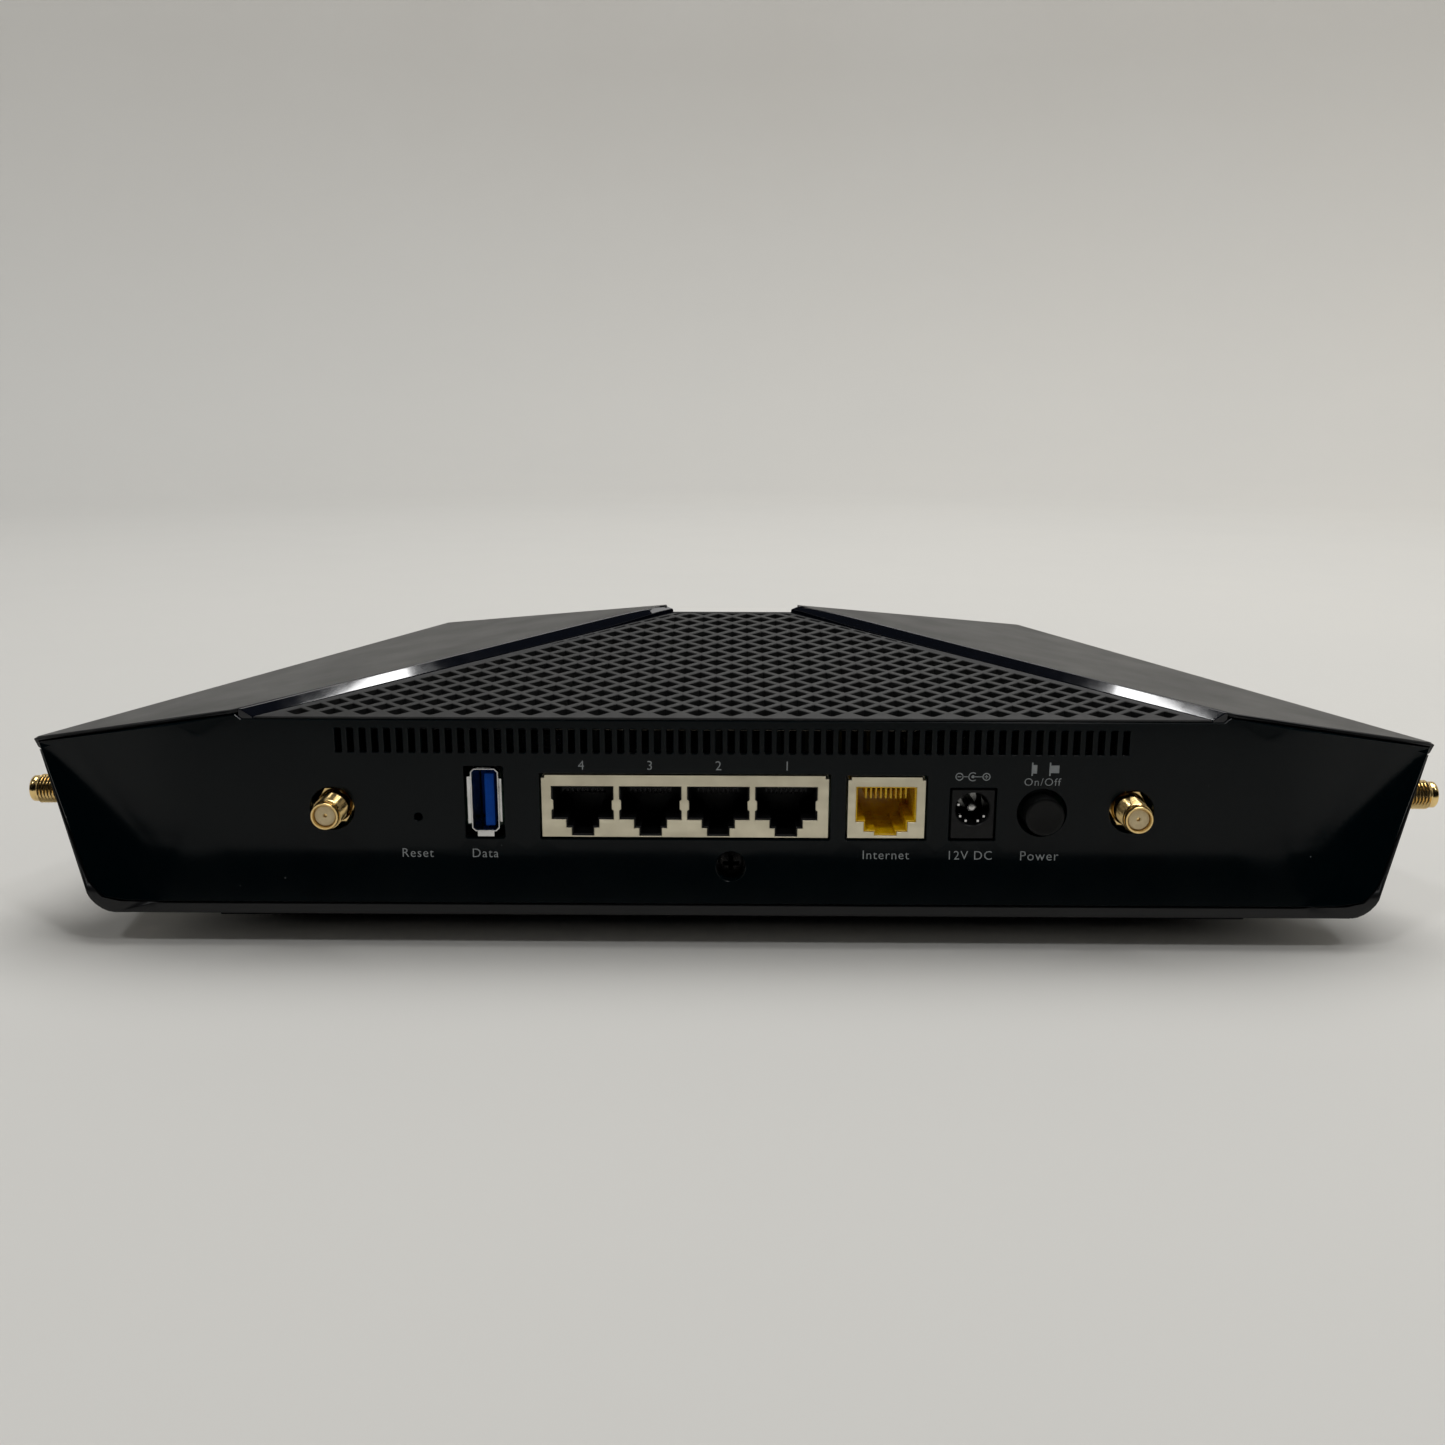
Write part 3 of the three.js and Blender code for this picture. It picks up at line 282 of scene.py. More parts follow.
# ---- Finishes
class Look:
    """A Principled material whose colour, roughness and relief are varied by noise in object space."""

    def __init__(self, name, colour, roughness, metallic=0.0, specular=0.5):
        self.material = bpy.data.materials.new(name)
        self.material.use_nodes = True
        self.tree = self.material.node_tree
        self.shader = self.tree.nodes["Principled BSDF"]
        self.roughness = roughness
        self.set("Base Color", (*colour, 1.0))
        self.set("Roughness", roughness)
        self.set("Metallic", metallic)
        self.set("Specular IOR Level", specular)
        self.place = self.node("ShaderNodeTexCoord").outputs["Object"]

    def set(self, socket, value):
        self.shader.inputs[socket].default_value = value

    def node(self, kind, **inputs):
        made = self.tree.nodes.new(kind)
        for name, value in inputs.items():
            if isinstance(value, bpy.types.NodeSocket):
                self.tree.links.new(value, made.inputs[name])
            else:
                made.inputs[name].default_value = value
        return made

    def noise(self, size, detail=3.0, stretch=(1.0, 1.0, 1.0)):
        """Noise with features about `size` millimetres across; stretch lengthens them per axis."""
        scaled = self.node("ShaderNodeMapping", Vector=self.place)
        scaled.inputs["Scale"].default_value = [1.0 / s for s in stretch]
        vector, scale = scaled.outputs["Vector"], 1.0 / (size * MM)
        made = self.node("ShaderNodeTexNoise", Vector=vector, Scale=scale, Detail=detail)
        return made.outputs["Fac"]

    def spread(self, source, low, high, start=0.3, end=0.7):
        made = self.node("ShaderNodeMapRange", Value=source)
        made.inputs["From Min"].default_value = start
        made.inputs["From Max"].default_value = end
        made.inputs["To Min"].default_value = low
        made.inputs["To Max"].default_value = high
        return made.outputs["Result"]

    def specks(self, spacing, share):
        """1 on sparse small dots about `spacing` millimetres apart, 0 elsewhere."""
        cells = self.node("ShaderNodeTexVoronoi", Vector=self.place, Scale=1.0 / (spacing * MM))
        return self.spread(cells.outputs["Distance"], 1.0, 0.0, share, share * 1.4)

    def vary_colour(self, source, other):
        """Blend from the base colour to another where the source rises to 1."""
        mix = self.tree.nodes.new("ShaderNodeMix")
        mix.data_type = "RGBA"
        current = self.shader.inputs["Base Color"]
        if current.is_linked:
            self.tree.links.new(current.links[0].from_socket, mix.inputs[6])
        else:
            mix.inputs[6].default_value = current.default_value
        mix.inputs[7].default_value = (*other, 1.0)
        self.tree.links.new(source, mix.inputs[0])
        self.tree.links.new(mix.outputs[2], current)

    def mottle(self, other, size, detail=3.0, share=1.0):
        """Blend towards another colour in soft patches about `size` millimetres across."""
        self.vary_colour(self.spread(self.noise(size, detail), 0.0, share), other)

    def wear(self, spread, *noise):
        """Let the roughness drift either way over noise() of the values that follow."""
        value = self.spread(self.noise(*noise), self.roughness - spread, self.roughness + spread)
        self.tree.links.new(value, self.shader.inputs["Roughness"])

    def grain(self, height, strength, *noise):
        """Relief `height` millimetres deep from noise() of the values that follow."""
        source = self.noise(*noise)
        bump = self.node("ShaderNodeBump", Height=source, Distance=height * MM, Strength=strength)
        self.tree.links.new(bump.outputs["Normal"], self.shader.inputs["Normal"])


def case_plastic():
    look = Look("satin_plastic", (0.004, 0.0045, 0.0055), 0.36, specular=0.33)
    look.mottle((0.006, 0.0065, 0.0075), 30.0)
    look.wear(0.035, 14.0, 5.0)
    look.grain(0.006, 0.5, 0.35, 2.0)
    return look.material


def panel_plastic():
    look = Look("panel_plastic", (0.0002, 0.0020, 0.0029), 0.16, specular=0.15)
    look.vary_colour(look.specks(7.0, 0.016), (0.14, 0.14, 0.14))
    look.wear(0.02, 9.0, 5.0)
    look.grain(0.003, 0.35, 0.5, 2.0)
    return look.material


def grille_plastic():
    look = Look("grille_plastic", (0.0095, 0.0103, 0.0107), 0.5, specular=0.365)
    look.mottle((0.019, 0.0195, 0.02), 5.0)
    look.wear(0.05, 2.0)
    look.grain(0.008, 0.6, 0.25, 2.0)
    return look.material


def gloss_trim():
    look = Look("gloss_black", (0.0015, 0.0025, 0.006), 0.05)
    look.wear(0.02, 6.0, 6.0)
    look.vary_colour(look.specks(3.0, 0.02), (0.05, 0.05, 0.05))
    look.grain(0.004, 0.3, 8.0, 1.0)
    return look.material


def smoked_window():
    look = Look("smoked_window", (0.003, 0.003, 0.004), 0.1)
    look.wear(0.04, 7.0, 6.0)
    look.vary_colour(look.specks(4.0, 0.02), (0.05, 0.05, 0.05))
    look.grain(0.0015, 0.15, 10.0, 1.0)
    return look.material


def light_guide_plastic():
    look = Look("light_guide_plastic", (0.62, 0.65, 0.66), 0.35)
    look.set("Subsurface Weight", 0.2)
    look.set("Subsurface Scale", 0.002)
    look.wear(0.08, 1.5)
    look.grain(0.01, 0.3, 0.4)
    return look.material


def button_plastic():
    look = Look("button_plastic", (0.002, 0.0024, 0.0025), 0.4, specular=0.18)
    look.mottle((0.004, 0.004, 0.004), 2.0, 5.0)
    look.wear(0.06, 1.2, 4.0)
    look.grain(0.008, 0.5, 0.2, 2.0)
    return look.material


def foot_rubber():
    look = Look("foot_rubber", (0.02, 0.02, 0.021), 0.82, specular=0.3)
    look.mottle((0.034, 0.033, 0.032), 3.0, 5.0)
    look.wear(0.08, 1.0)
    look.grain(0.03, 0.6, 0.3, 3.0)
    return look.material


def jack_steel():
    look = Look("jack_steel", (0.80, 0.74, 0.57), 0.36, metallic=1.0)
    look.mottle((0.68, 0.62, 0.47), 4.0, 5.0, share=0.8)
    look.wear(0.08, 1.5, 4.0, (6.0, 1.0, 1.0))
    look.grain(0.006, 0.5, 0.5, 3.0, (8.0, 1.0, 1.0))
    return look.material


def bright_steel():
    look = Look("bright_steel", (0.72, 0.72, 0.72), 0.22, metallic=1.0)
    look.mottle((0.55, 0.54, 0.52), 2.5, 5.0, share=0.8)
    look.wear(0.07, 0.9, 4.0, (1.0, 1.0, 6.0))
    look.grain(0.005, 0.4, 0.4, 3.0, (1.0, 1.0, 8.0))
    return look.material


def black_insert():
    look = Look("black_insert", (0.003, 0.0032, 0.0036), 0.42, specular=0.24)
    look.mottle((0.007, 0.007, 0.0075), 1.5, 4.0)
    look.wear(0.07, 0.8)
    look.grain(0.008, 0.4, 0.3)
    return look.material


def yellow_insert():
    look = Look("yellow_insert", (0.95, 0.63, 0.004), 0.3)
    look.set("Subsurface Weight", 0.05)
    look.set("Subsurface Scale", 0.0008)
    look.mottle((0.66, 0.37, 0.003), 1.6, 4.0)
    look.wear(0.06, 0.8)
    look.grain(0.008, 0.4, 0.4)
    return look.material


def blue_insert():
    look = Look("blue_insert", (0.0003, 0.05, 0.33), 0.4, specular=0.1)
    look.mottle((0.0004, 0.06, 0.37), 1.2, 4.0)
    look.wear(0.06, 0.7)
    look.grain(0.006, 0.4, 0.35)
    return look.material


def gold_plate():
    look = Look("gold_plate", (0.90, 0.66, 0.30), 0.2, metallic=1.0)
    look.mottle((0.80, 0.56, 0.22), 1.2, 5.0, share=0.7)
    look.wear(0.07, 0.6, 4.0)
    look.grain(0.004, 0.4, 0.25, 3.0)
    return look.material


def dielectric():
    look = Look("dielectric", (0.80, 0.66, 0.40), 0.4)
    look.mottle((0.70, 0.56, 0.32), 0.8, 4.0)
    look.wear(0.08, 0.5)
    look.grain(0.006, 0.4, 0.3)
    return look.material


def circuit_board():
    look = Look("circuit_board", (0.003, 0.022, 0.011), 0.4)
    tracks = look.noise(1.4, 0.0, (1.0, 6.0, 1.0))
    look.vary_colour(look.spread(tracks, 0.0, 1.0, 0.5, 0.54), (0.006, 0.038, 0.018))
    look.vary_colour(look.specks(2.6, 0.2), (0.35, 0.33, 0.28))
    look.wear(0.08, 2.0)
    look.grain(0.03, 0.4, 1.4, 0.0, (1.0, 6.0, 1.0))
    return look.material


def aluminium():
    # painted shade: far darker than bare aluminium, so the heat sink seen through the vent slots stays
    # black like the shaded inside of the case
    look = Look("aluminium", (0.10, 0.10, 0.105), 0.4, metallic=1.0)
    look.mottle((0.07, 0.07, 0.075), 3.0, 5.0)
    look.wear(0.08, 0.6, 4.0, (1.0, 12.0, 1.0))
    look.grain(0.008, 0.5, 0.3, 3.0, (1.0, 20.0, 1.0))
    return look.material


def tin_plate():
    look = Look("tin_plate", (0.62, 0.62, 0.61), 0.3, metallic=1.0)
    look.mottle((0.5, 0.5, 0.48), 2.5, 5.0)
    look.wear(0.09, 1.2, 5.0)
    look.grain(0.006, 0.4, 1.0, 3.0)
    return look.material


def chip_package():
    look = Look("chip_package", (0.012, 0.012, 0.013), 0.55)
    look.mottle((0.02, 0.02, 0.02), 1.0, 4.0)
    look.wear(0.08, 0.5)
    look.grain(0.01, 0.5, 0.15)
    return look.material


def cable_jacket():
    look = Look("cable_jacket", (0.03, 0.03, 0.032), 0.45)
    look.mottle((0.045, 0.045, 0.045), 1.5, 4.0)
    look.wear(0.08, 1.0)
    look.grain(0.01, 0.4, 0.4)
    return look.material


def ribbon():
    look = Look("ribbon", (0.6, 0.6, 0.57), 0.45)
    stripes = look.noise(1.0, 0.0, (1.0, 40.0, 40.0))
    look.vary_colour(look.spread(stripes, 0.0, 1.0, 0.45, 0.55), (0.38, 0.38, 0.4))
    look.wear(0.06, 1.0)
    look.grain(0.05, 0.5, 1.0, 0.0, (1.0, 40.0, 40.0))
    return look.material


def black_screw():
    look = Look("black_screw", (0.014, 0.014, 0.015), 0.3, metallic=1.0)
    look.mottle((0.025, 0.024, 0.023), 1.0, 5.0)
    look.wear(0.1, 0.5, 4.0)
    look.grain(0.008, 0.5, 0.3, 3.0)
    return look.material


def print_ink():
    look = Look("print_ink", (0.30, 0.32, 0.33), 0.55, specular=0.3)
    look.mottle((0.24, 0.26, 0.27), 0.8, 4.0)
    look.wear(0.06, 0.5)
    look.grain(0.003, 0.4, 0.2)
    return look.material


def studio_paper():
    """Pale paper with painted light: painted shade makes it a little darker and warmer up the wall, and
    painted light makes it a little lighter on the right.
    """
    look = Look("studio_paper", (0.60, 0.60, 0.585), 0.75, specular=0.2)
    place = look.node("ShaderNodeSeparateXYZ", Vector=look.place)
    # painted light: the paper is lighter towards the right
    look.vary_colour(look.spread(place.outputs["X"], 0.0, 1.0, -0.9, 0.9), (0.65, 0.64, 0.61))
    # painted shade: the paper is darker and warmer up the wall
    look.vary_colour(look.spread(place.outputs["Z"], 0.0, 1.0, 0.1, 0.9), (0.50, 0.485, 0.46))
    look.mottle((0.59, 0.59, 0.575), 260.0, 2.0, share=0.3)
    look.wear(0.05, 40.0)
    look.grain(0.02, 0.2, 2.0, 4.0)
    return look.material


def card_black():
    return Look("card_black", (0.004, 0.004, 0.005), 0.9, specular=0.0).material


# each maker is named after its material slot in the record
MAKERS = (
    case_plastic, panel_plastic, grille_plastic, gloss_trim, smoked_window, light_guide_plastic,
    button_plastic, foot_rubber, jack_steel, black_insert, yellow_insert, blue_insert,
    gold_plate, dielectric, circuit_board, aluminium, tin_plate, chip_package, cable_jacket,
    ribbon, black_screw,
)
FINISH = {make.__name__: make() for make in MAKERS}
BRIGHT_STEEL = bright_steel()
GOLD = FINISH["gold_plate"]
SLOT_OF = {part["node"]: part["material_slot"] for part in frame["record"]["subparts"]}


# ---- Shape helpers: everything is laid out as (x, depth, height) in millimetres
class Shape:
    """A mesh under construction."""

    def __init__(self):
        self.mesh = bmesh.new()
        self.material = 0

    def point(self, place):
        return self.mesh.verts.new(at(*place))

    def face(self, corners):
        made = self.mesh.faces.new(corners)
        made.material_index = self.material
        return made

    def loft(self, rings):
        """Skin a run of rings, each with as many points as the next, and close its ends."""
        made = [[self.point(place) for place in ring] for ring in rings]
        count = len(made[0])
        for near, far in zip(made, made[1:]):
            for i in range(count):
                j = (i + 1) % count
                self.face((near[i], near[j], far[j], far[i]))
        self.face(list(reversed(made[0])))
        self.face(made[-1])

    def block(self, x, depth, height):
        self.loft([[(across, d, up) for across, up in box_corners(x, height)] for d in depth])

    def turned(self, profile, sides, base):
        """Turn (radius, along) pairs about the base's third axis."""
        rings = []
        for radius, along in profile:
            flat = circle(0.0, 0.0, radius, sides)
            rings.append([tuple(base @ Vector((u, v, along))) for u, v in flat])
        self.loft(rings)

    def finish(self, name, replaced, materials=None, body="case", bevel=0.0, smooth_angle=35.0):
        """Make the object, in the finish of the CAD nodes it stands for, and tie it to its body."""
        materials = materials or [FINISH[SLOT_OF[replaced[0]]]]
        bmesh.ops.remove_doubles(self.mesh, verts=self.mesh.verts, dist=1e-7)
        bmesh.ops.recalc_face_normals(self.mesh, faces=self.mesh.faces)
        piece = mesh_object(name, self.mesh, materials)
        settle(piece, replaced, body, bevel, smooth_angle)


def settle(piece, replaced, body, bevel, smooth_angle):
    """Smooth or bevel a piece, tie it to its CAD body and hide the CAD nodes it replaces."""
    piece.data.shade_smooth()
    if bevel:
        soften = piece.modifiers.new("edges", "BEVEL")
        soften.width = bevel * MM
        soften.segments = 2
        soften.limit_method = "ANGLE"
        soften.angle_limit = math.radians(smooth_angle)
        soften.harden_normals = True
    else:
        piece.data.set_sharp_from_angle(angle=math.radians(smooth_angle))
    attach(piece, body)
    if replaced:
        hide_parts(*replaced)


def facing_rear(x, depth, height):
    """Frame whose third axis runs forward into the object."""
    return Matrix(((1, 0, 0, x), (0, 0, 1, depth), (0, -1, 0, height), (0, 0, 0, 1)))


def facing_side(side, x, depth, height):
    """Frame whose third axis runs inward from the right (side 1) or left (side -1) wall."""
    return Matrix(((0, 0, -side, x), (side, 0, 0, depth), (0, -1, 0, height), (0, 0, 0, 1)))


def inset(loop, distance):
    """Move every edge of a closed loop inwards by a distance; a negative distance grows it."""
    area = sum(a[0] * b[1] - b[0] * a[1] for a, b in zip(loop, loop[1:] + loop[:1]))
    sign = 1 if area > 0 else -1
    moved = []
    for i, point in enumerate(loop):
        before = Vector(point) - Vector(loop[i - 1])
        after = Vector(loop[(i + 1) % len(loop)]) - Vector(point)
        first = Vector((-before.y, before.x)).normalized() * sign
        second = Vector((-after.y, after.x)).normalized() * sign
        middle = (first + second).normalized()
        stretch = 1 / max(0.35, middle.dot(first))      # at a sharp corner, up to 1/0.35
        moved.append(tuple(Vector(point) + middle * distance * stretch))
    return moved


def rounded_box(left, right, low, high, radius, steps=3):
    """Rectangle with rounded corners, anticlockwise."""
    loop = []
    corners = [
        (right - radius, low + radius, -90),
        (right - radius, high - radius, 0),
        (left + radius, high - radius, 90),
        (left + radius, low + radius, 180),
    ]
    for x, z, start in corners:
        for step in range(steps + 1):
            angle = math.radians(start + 90 * step / steps)
            loop.append((x + radius * math.cos(angle), z + radius * math.sin(angle)))
    return loop


def plate(shape, outline, holes, lift, thickness, chamfer, inner_points=(), creases=()):
    """A sheet with holes, laid out flat and lifted: lift(u, v, below) places a point that many
    millimetres below the outer face. The outer edges and hole edges get a chamfer."""
    loops = [inset(outline, chamfer)] + [inset(hole, -chamfer) for hole in holes]
    full = [outline] + list(holes)
    points, faces, edges = [], [], []
    for loop in loops:
        faces.append(list(range(len(points), len(points) + len(loop))))
        points.extend(Vector(p) for p in loop)
    rims = len(points)
    for crease in creases:
        edges.append((len(points), len(points) + 1))
        points.extend(Vector(p) for p in crease)
    points.extend(Vector(p) for p in inner_points)
    found = delaunay_2d_cdt(points, edges, faces, 0, 1e-6)
    flat, triangles, sources, owners = found[0], found[2], found[3], found[5]
    full_points = [Vector(p) for loop in full for p in loop]
    front, back = [], []
    of_input = {}
    for place, source in zip(flat, sources):
        rim = [i for i in source if i < rims]
        front.append(shape.point(lift(place.x, place.y, 0.0)))
        lower = full_points[rim[0]] if rim else place
        back.append(shape.point(lift(lower.x, lower.y, thickness)))
        for i in rim:
            of_input[i] = len(front) - 1
    for triangle, owner in zip(triangles, owners):
        if owner == [0]:
            shape.face([front[i] for i in triangle])
            shape.face([back[i] for i in reversed(triangle)])
    start = 0
    for loop in full:
        count = len(loop)
        middle = [shape.point(lift(x, z, chamfer)) for x, z in loop]
        for i in range(count):
            j = (i + 1) % count
            a, b = of_input[start + i], of_input[start + j]
            shape.face((front[a], front[b], middle[j], middle[i]))
            shape.face((middle[i], middle[j], back[b], back[a]))
        start += count
    loose = [v for v in shape.mesh.verts if not v.link_faces]
    bmesh.ops.delete(shape.mesh, geom=loose, context="VERTS")


def grid(x_range, z_range, step_x, step_z):
    """Points of a regular grid, used where a plate curves."""
    columns = int((x_range[1] - x_range[0]) / step_x)
    rows = int((z_range[1] - z_range[0]) / step_z)
    made = []
    for i in range(columns + 1):
        for j in range(rows + 1):
            made.append((x_range[0] + i * step_x, z_range[0] + j * step_z))
    return made


# ---- Rear panel
def soft_ramp(value, width):
    """Zero below 0, the value itself above 0, with a rounded corner of the given width."""
    return max(value, 0.0) + width * math.log1p(math.exp(-abs(value) / width))


def plane_depth(x, height, corners):
    """Depth at which the plane through three points lies."""
    p, q, r = (Vector(c) for c in corners)
    normal = (q - p).cross(r - p)
    return p.y - (normal.x * (x - p.x) + normal.z * (height - p.z)) / normal.y


def crease_x(height):
    """Half width at which the crease below the shoulder lies."""
    run, rise = SHOULDER[0] - CREASE_FOOT[0], SHOULDER[2] - CREASE_FOOT[2]
    return CREASE_FOOT[0] + (height - CREASE_FOOT[2]) * run / rise


def crease_gap(x, height):
    """Distance of a point of the rear face from the crease, along x."""
    return abs(abs(x) - crease_x(height))


def rear_depth(x, height):
    """Depth of the rear face at a point seen from behind."""
    x = abs(x)
    wall = WALL_BEND["slope"] * soft_ramp(x - WALL_BEND["start"], WALL_BEND["width"])
    sweep = SWEEP_SLOPE * (height - SWEEP_TOP)
    wedge = plane_depth(x, height, (SHOULDER, CREASE_FOOT, WEDGE_HEAD))
    lower = sweep + soft_ramp(wedge - sweep, 0.03)
    outwards = clamp((x - CORNER_START[0]) / CORNER_RUN[0])
    upwards = clamp((height - CORNER_START[1]) / CORNER_RUN[1])
    before_crease = clamp((crease_x(height) - x) / CREASE_RUN, 0.05)
    rounding = SWEEP_ROUNDING * (1 + CORNER_ROUNDING * (outwards * upwards)) * before_crease
    face = wall - soft_ramp(wall - lower, rounding)
    if x > crease_x(height):
        facet = plane_depth(x, height, (SHOULDER, CREASE_FOOT, FLOOR_CORNER))
        face = min(face, facet)
    return face


def wing_height(x, depth):
    """Height of the wing's plane through its three corner points."""
    a, b, c = Vector(SHOULDER), Vector(WING_REAR), Vector(WING_TIP)
    normal = (b - a).cross(c - a)
    return a.z - (normal.x * (abs(x) - a.x) + normal.y * (depth - a.y)) / normal.z


def rear_edge(x):
    """Height of the panel's top edge, below the cover's lip."""
    near_edge = 45.0
    return wing_height(x, rear_depth(x, near_edge)) - COVER_LIP


def panel_outline():
    """Outline of the rear panel, its points closer together where the panel curves in depth."""
    half = [(x, PANEL_BOTTOM) for x in (0.0, 60.0, 78.0)]
    half += [(84.0 + 2.6 * i, PANEL_BOTTOM) for i in range(17)]
    for angle in (-60, -30):
        turn = math.radians(angle)
        x = LOWER_BEND[0] + (LOWER_BEND_RADII[0] + CASE_FLARE) * math.cos(turn)
        half.append((x, LOWER_BEND[1] + LOWER_BEND_RADII[1] * math.sin(turn)))
    half.append((133.3 + CASE_FLARE, 14.2))
    along_top = [UPPER_CORNER_X] + [142.5 - 2.7 * i for i in range(12)] + [WING_REAR[0] - 0.4]
    half += [(x, rear_edge(x)) for x in along_top]
    half.append((GRILLE_STEP_HALF, GRILLE_REAR - 0.45))
    left = [(-x, z) for x, z in reversed(half[1:])]
    return half + left


def panel_openings():
    holes = []
    for i in range(SLOT_COUNT):
        x = (i - (SLOT_COUNT - 1) / 2) * SLOT_PITCH
        holes.append(rounded_box(x - SLOT_WIDTH / 2, x + SLOT_WIDTH / 2, *SLOT_HEIGHTS, 0.2, 1))
    for left, right, low, high in (LAN_FACE, WAN_FACE, DC_FACE):
        holes.append(rounded_box(left - GAP, right + GAP, low - GAP, high + GAP, 0.35))
    holes.append(rounded_box(*DATA_CUTOUT, 0.4))
    holes.append(circle(POWER_BUTTON[0], POWER_BUTTON[1], POWER_BUTTON[3], 48))
    holes.append(circle(*RESET_HOLE, 20))
    holes.append(circle(*REAR_SCREW, 40))
    for side in (1, -1):
        holes.append(circle(side * REAR_JACK[0], REAR_JACK[1], JACK_HOLE_RADIUS, 40))
    return holes


def rear_panel():
    shape = Shape()

    def lift(x, height, below):
        return x, rear_depth(x, height) + below, height

    crease_top, crease_bottom = 39.85, PANEL_BOTTOM + 0.4
    inner = grid((-98, 98), (11.5, 25.5), 7.0, 0.7)
    corner = [(x, z) for x, z in grid((100, 144), (10.6, 46), 1.3, 1.2) if crease_gap(x, z) > 0.5]
    for side in (1, -1):
        inner += [(side * x, z) for x, z in corner]
    outline = panel_outline()
    border = inset(outline, 0.8)
    inner = [p for p in inner if inside(p, border)]
    creases = []
    for side in (1, -1):
        creases.append([(side * crease_x(z), z) for z in (crease_top, crease_bottom)])
    plate(shape, outline, panel_openings(), lift, WALL, PANEL_CHAMFER, inner, creases)
    screw_well(shape)
    shape.finish("rear_panel_skin", ["rear_panel"], smooth_angle=7.0)


def screw_well(shape):
    """Floor of the recess that the rear screw sits in."""
    x, height, radius = REAR_SCREW
    profile = [(radius + 0.2, WALL - 0.2), (radius + 0.2, WALL + 1.6)]
    shape.turned(profile, 40, facing_rear(x, 0.0, height))


def inside(point, loop):
    """True where a point lies inside a closed loop."""
    x, z = point
    crossings = 0
    for (ax, az), (bx, bz) in zip(loop, loop[1:] + loop[:1]):
        if (az > z) != (bz > z) and x < ax + (bx - ax) * (z - az) / (bz - az):
            crossings += 1
    return crossings % 2 == 1


# ---- Grille and trim
def trough_half(depth, inset_by):
    """Half width of the space between the wings at a depth, drawn in along its sides."""
    run, side = WING_TIP[1] - WING_REAR[1], WING_REAR[0] - WING_TIP[0]
    return WING_REAR[0] - inset_by * math.hypot(run, side) / run - side * depth / run


def grille_height(depth):
    past = max(0.0, depth - GRILLE_ROUNDING_START) / (GRILLE_RIDGE - GRILLE_ROUNDING_START)
    return GRILLE_REAR + GRILLE_SLOPE * depth - GRILLE_RIDGE_DROP * past ** 2


def clipped(loop, keep):
    """Cut a convex loop by a straight line: keep(point) is positive on the side that stays."""
    made = []
    for a, b in zip(loop, loop[1:] + loop[:1]):
        da, db = keep(a), keep(b)
        if da >= 0:
            made.append(a)
        if (da >= 0) != (db >= 0):
            t = da / (da - db)
            made.append((a[0] + t * (b[0] - a[0]), a[1] + t * (b[1] - a[1])))
    return made


def loop_area(loop):
    return abs(sum(a[0] * b[1] - b[0] * a[1] for a, b in zip(loop, loop[1:] + loop[:1]))) / 2


def diamond_holes():
    border = TRIM_WIDTH + GAP + DIAMOND_BORDER
    rear_margin, front_margin, least_area, columns = 1.5, 0.5, 0.9, 15
    slope = (WING_REAR[0] - WING_TIP[0]) / (WING_TIP[1] - WING_REAR[1])
    start = trough_half(0.0, border)
    edges = [
        lambda p: start - slope * p[1] - p[0],
        lambda p: start - slope * p[1] + p[0],
        lambda p: GRILLE_RIDGE - front_margin - p[1],
        lambda p: p[1] - rear_margin,
    ]
    holes = []
    for row in range(DIAMOND_ROWS):
        depth = DIAMOND_FIRST_ROW + row * DIAMOND_PITCH[1] / 2
        shift = DIAMOND_PITCH[0] / 2 if row % 2 else 0.0
        for column in range(-columns, columns + 1):
            x = column * DIAMOND_PITCH[0] + shift
            a, b = DIAMOND_HALF
            loop = [(x + a, depth), (x, depth + b), (x - a, depth), (x, depth - b)]
            for keep in edges:
                loop = clipped(loop, keep) if len(loop) > 2 else loop
            if len(loop) > 2 and loop_area(loop) > least_area:
                holes.append(loop)
    return holes


def vent_grille():
    shape = Shape()
    rear, front = 0.4, GRILLE_RIDGE
    lip_end, lip_thickness = WALL + GAP, 0.4

    def lift(x, depth, below):
        thin = min(below, lip_thickness) if depth < lip_end else below
        return x, depth, grille_height(depth) - thin

    ends = [trough_half(d, TRIM_WIDTH + GAP / 2) for d in (rear, front)]
    outline = [(ends[0], rear), (ends[1], front), (-ends[1], front), (-ends[0], rear)]
    plate(shape, outline, diamond_holes(), lift, GRILLE_THICKNESS, 0.12)
    shape.finish("grille_sheet", ["vent_grille"], smooth_angle=20.0)


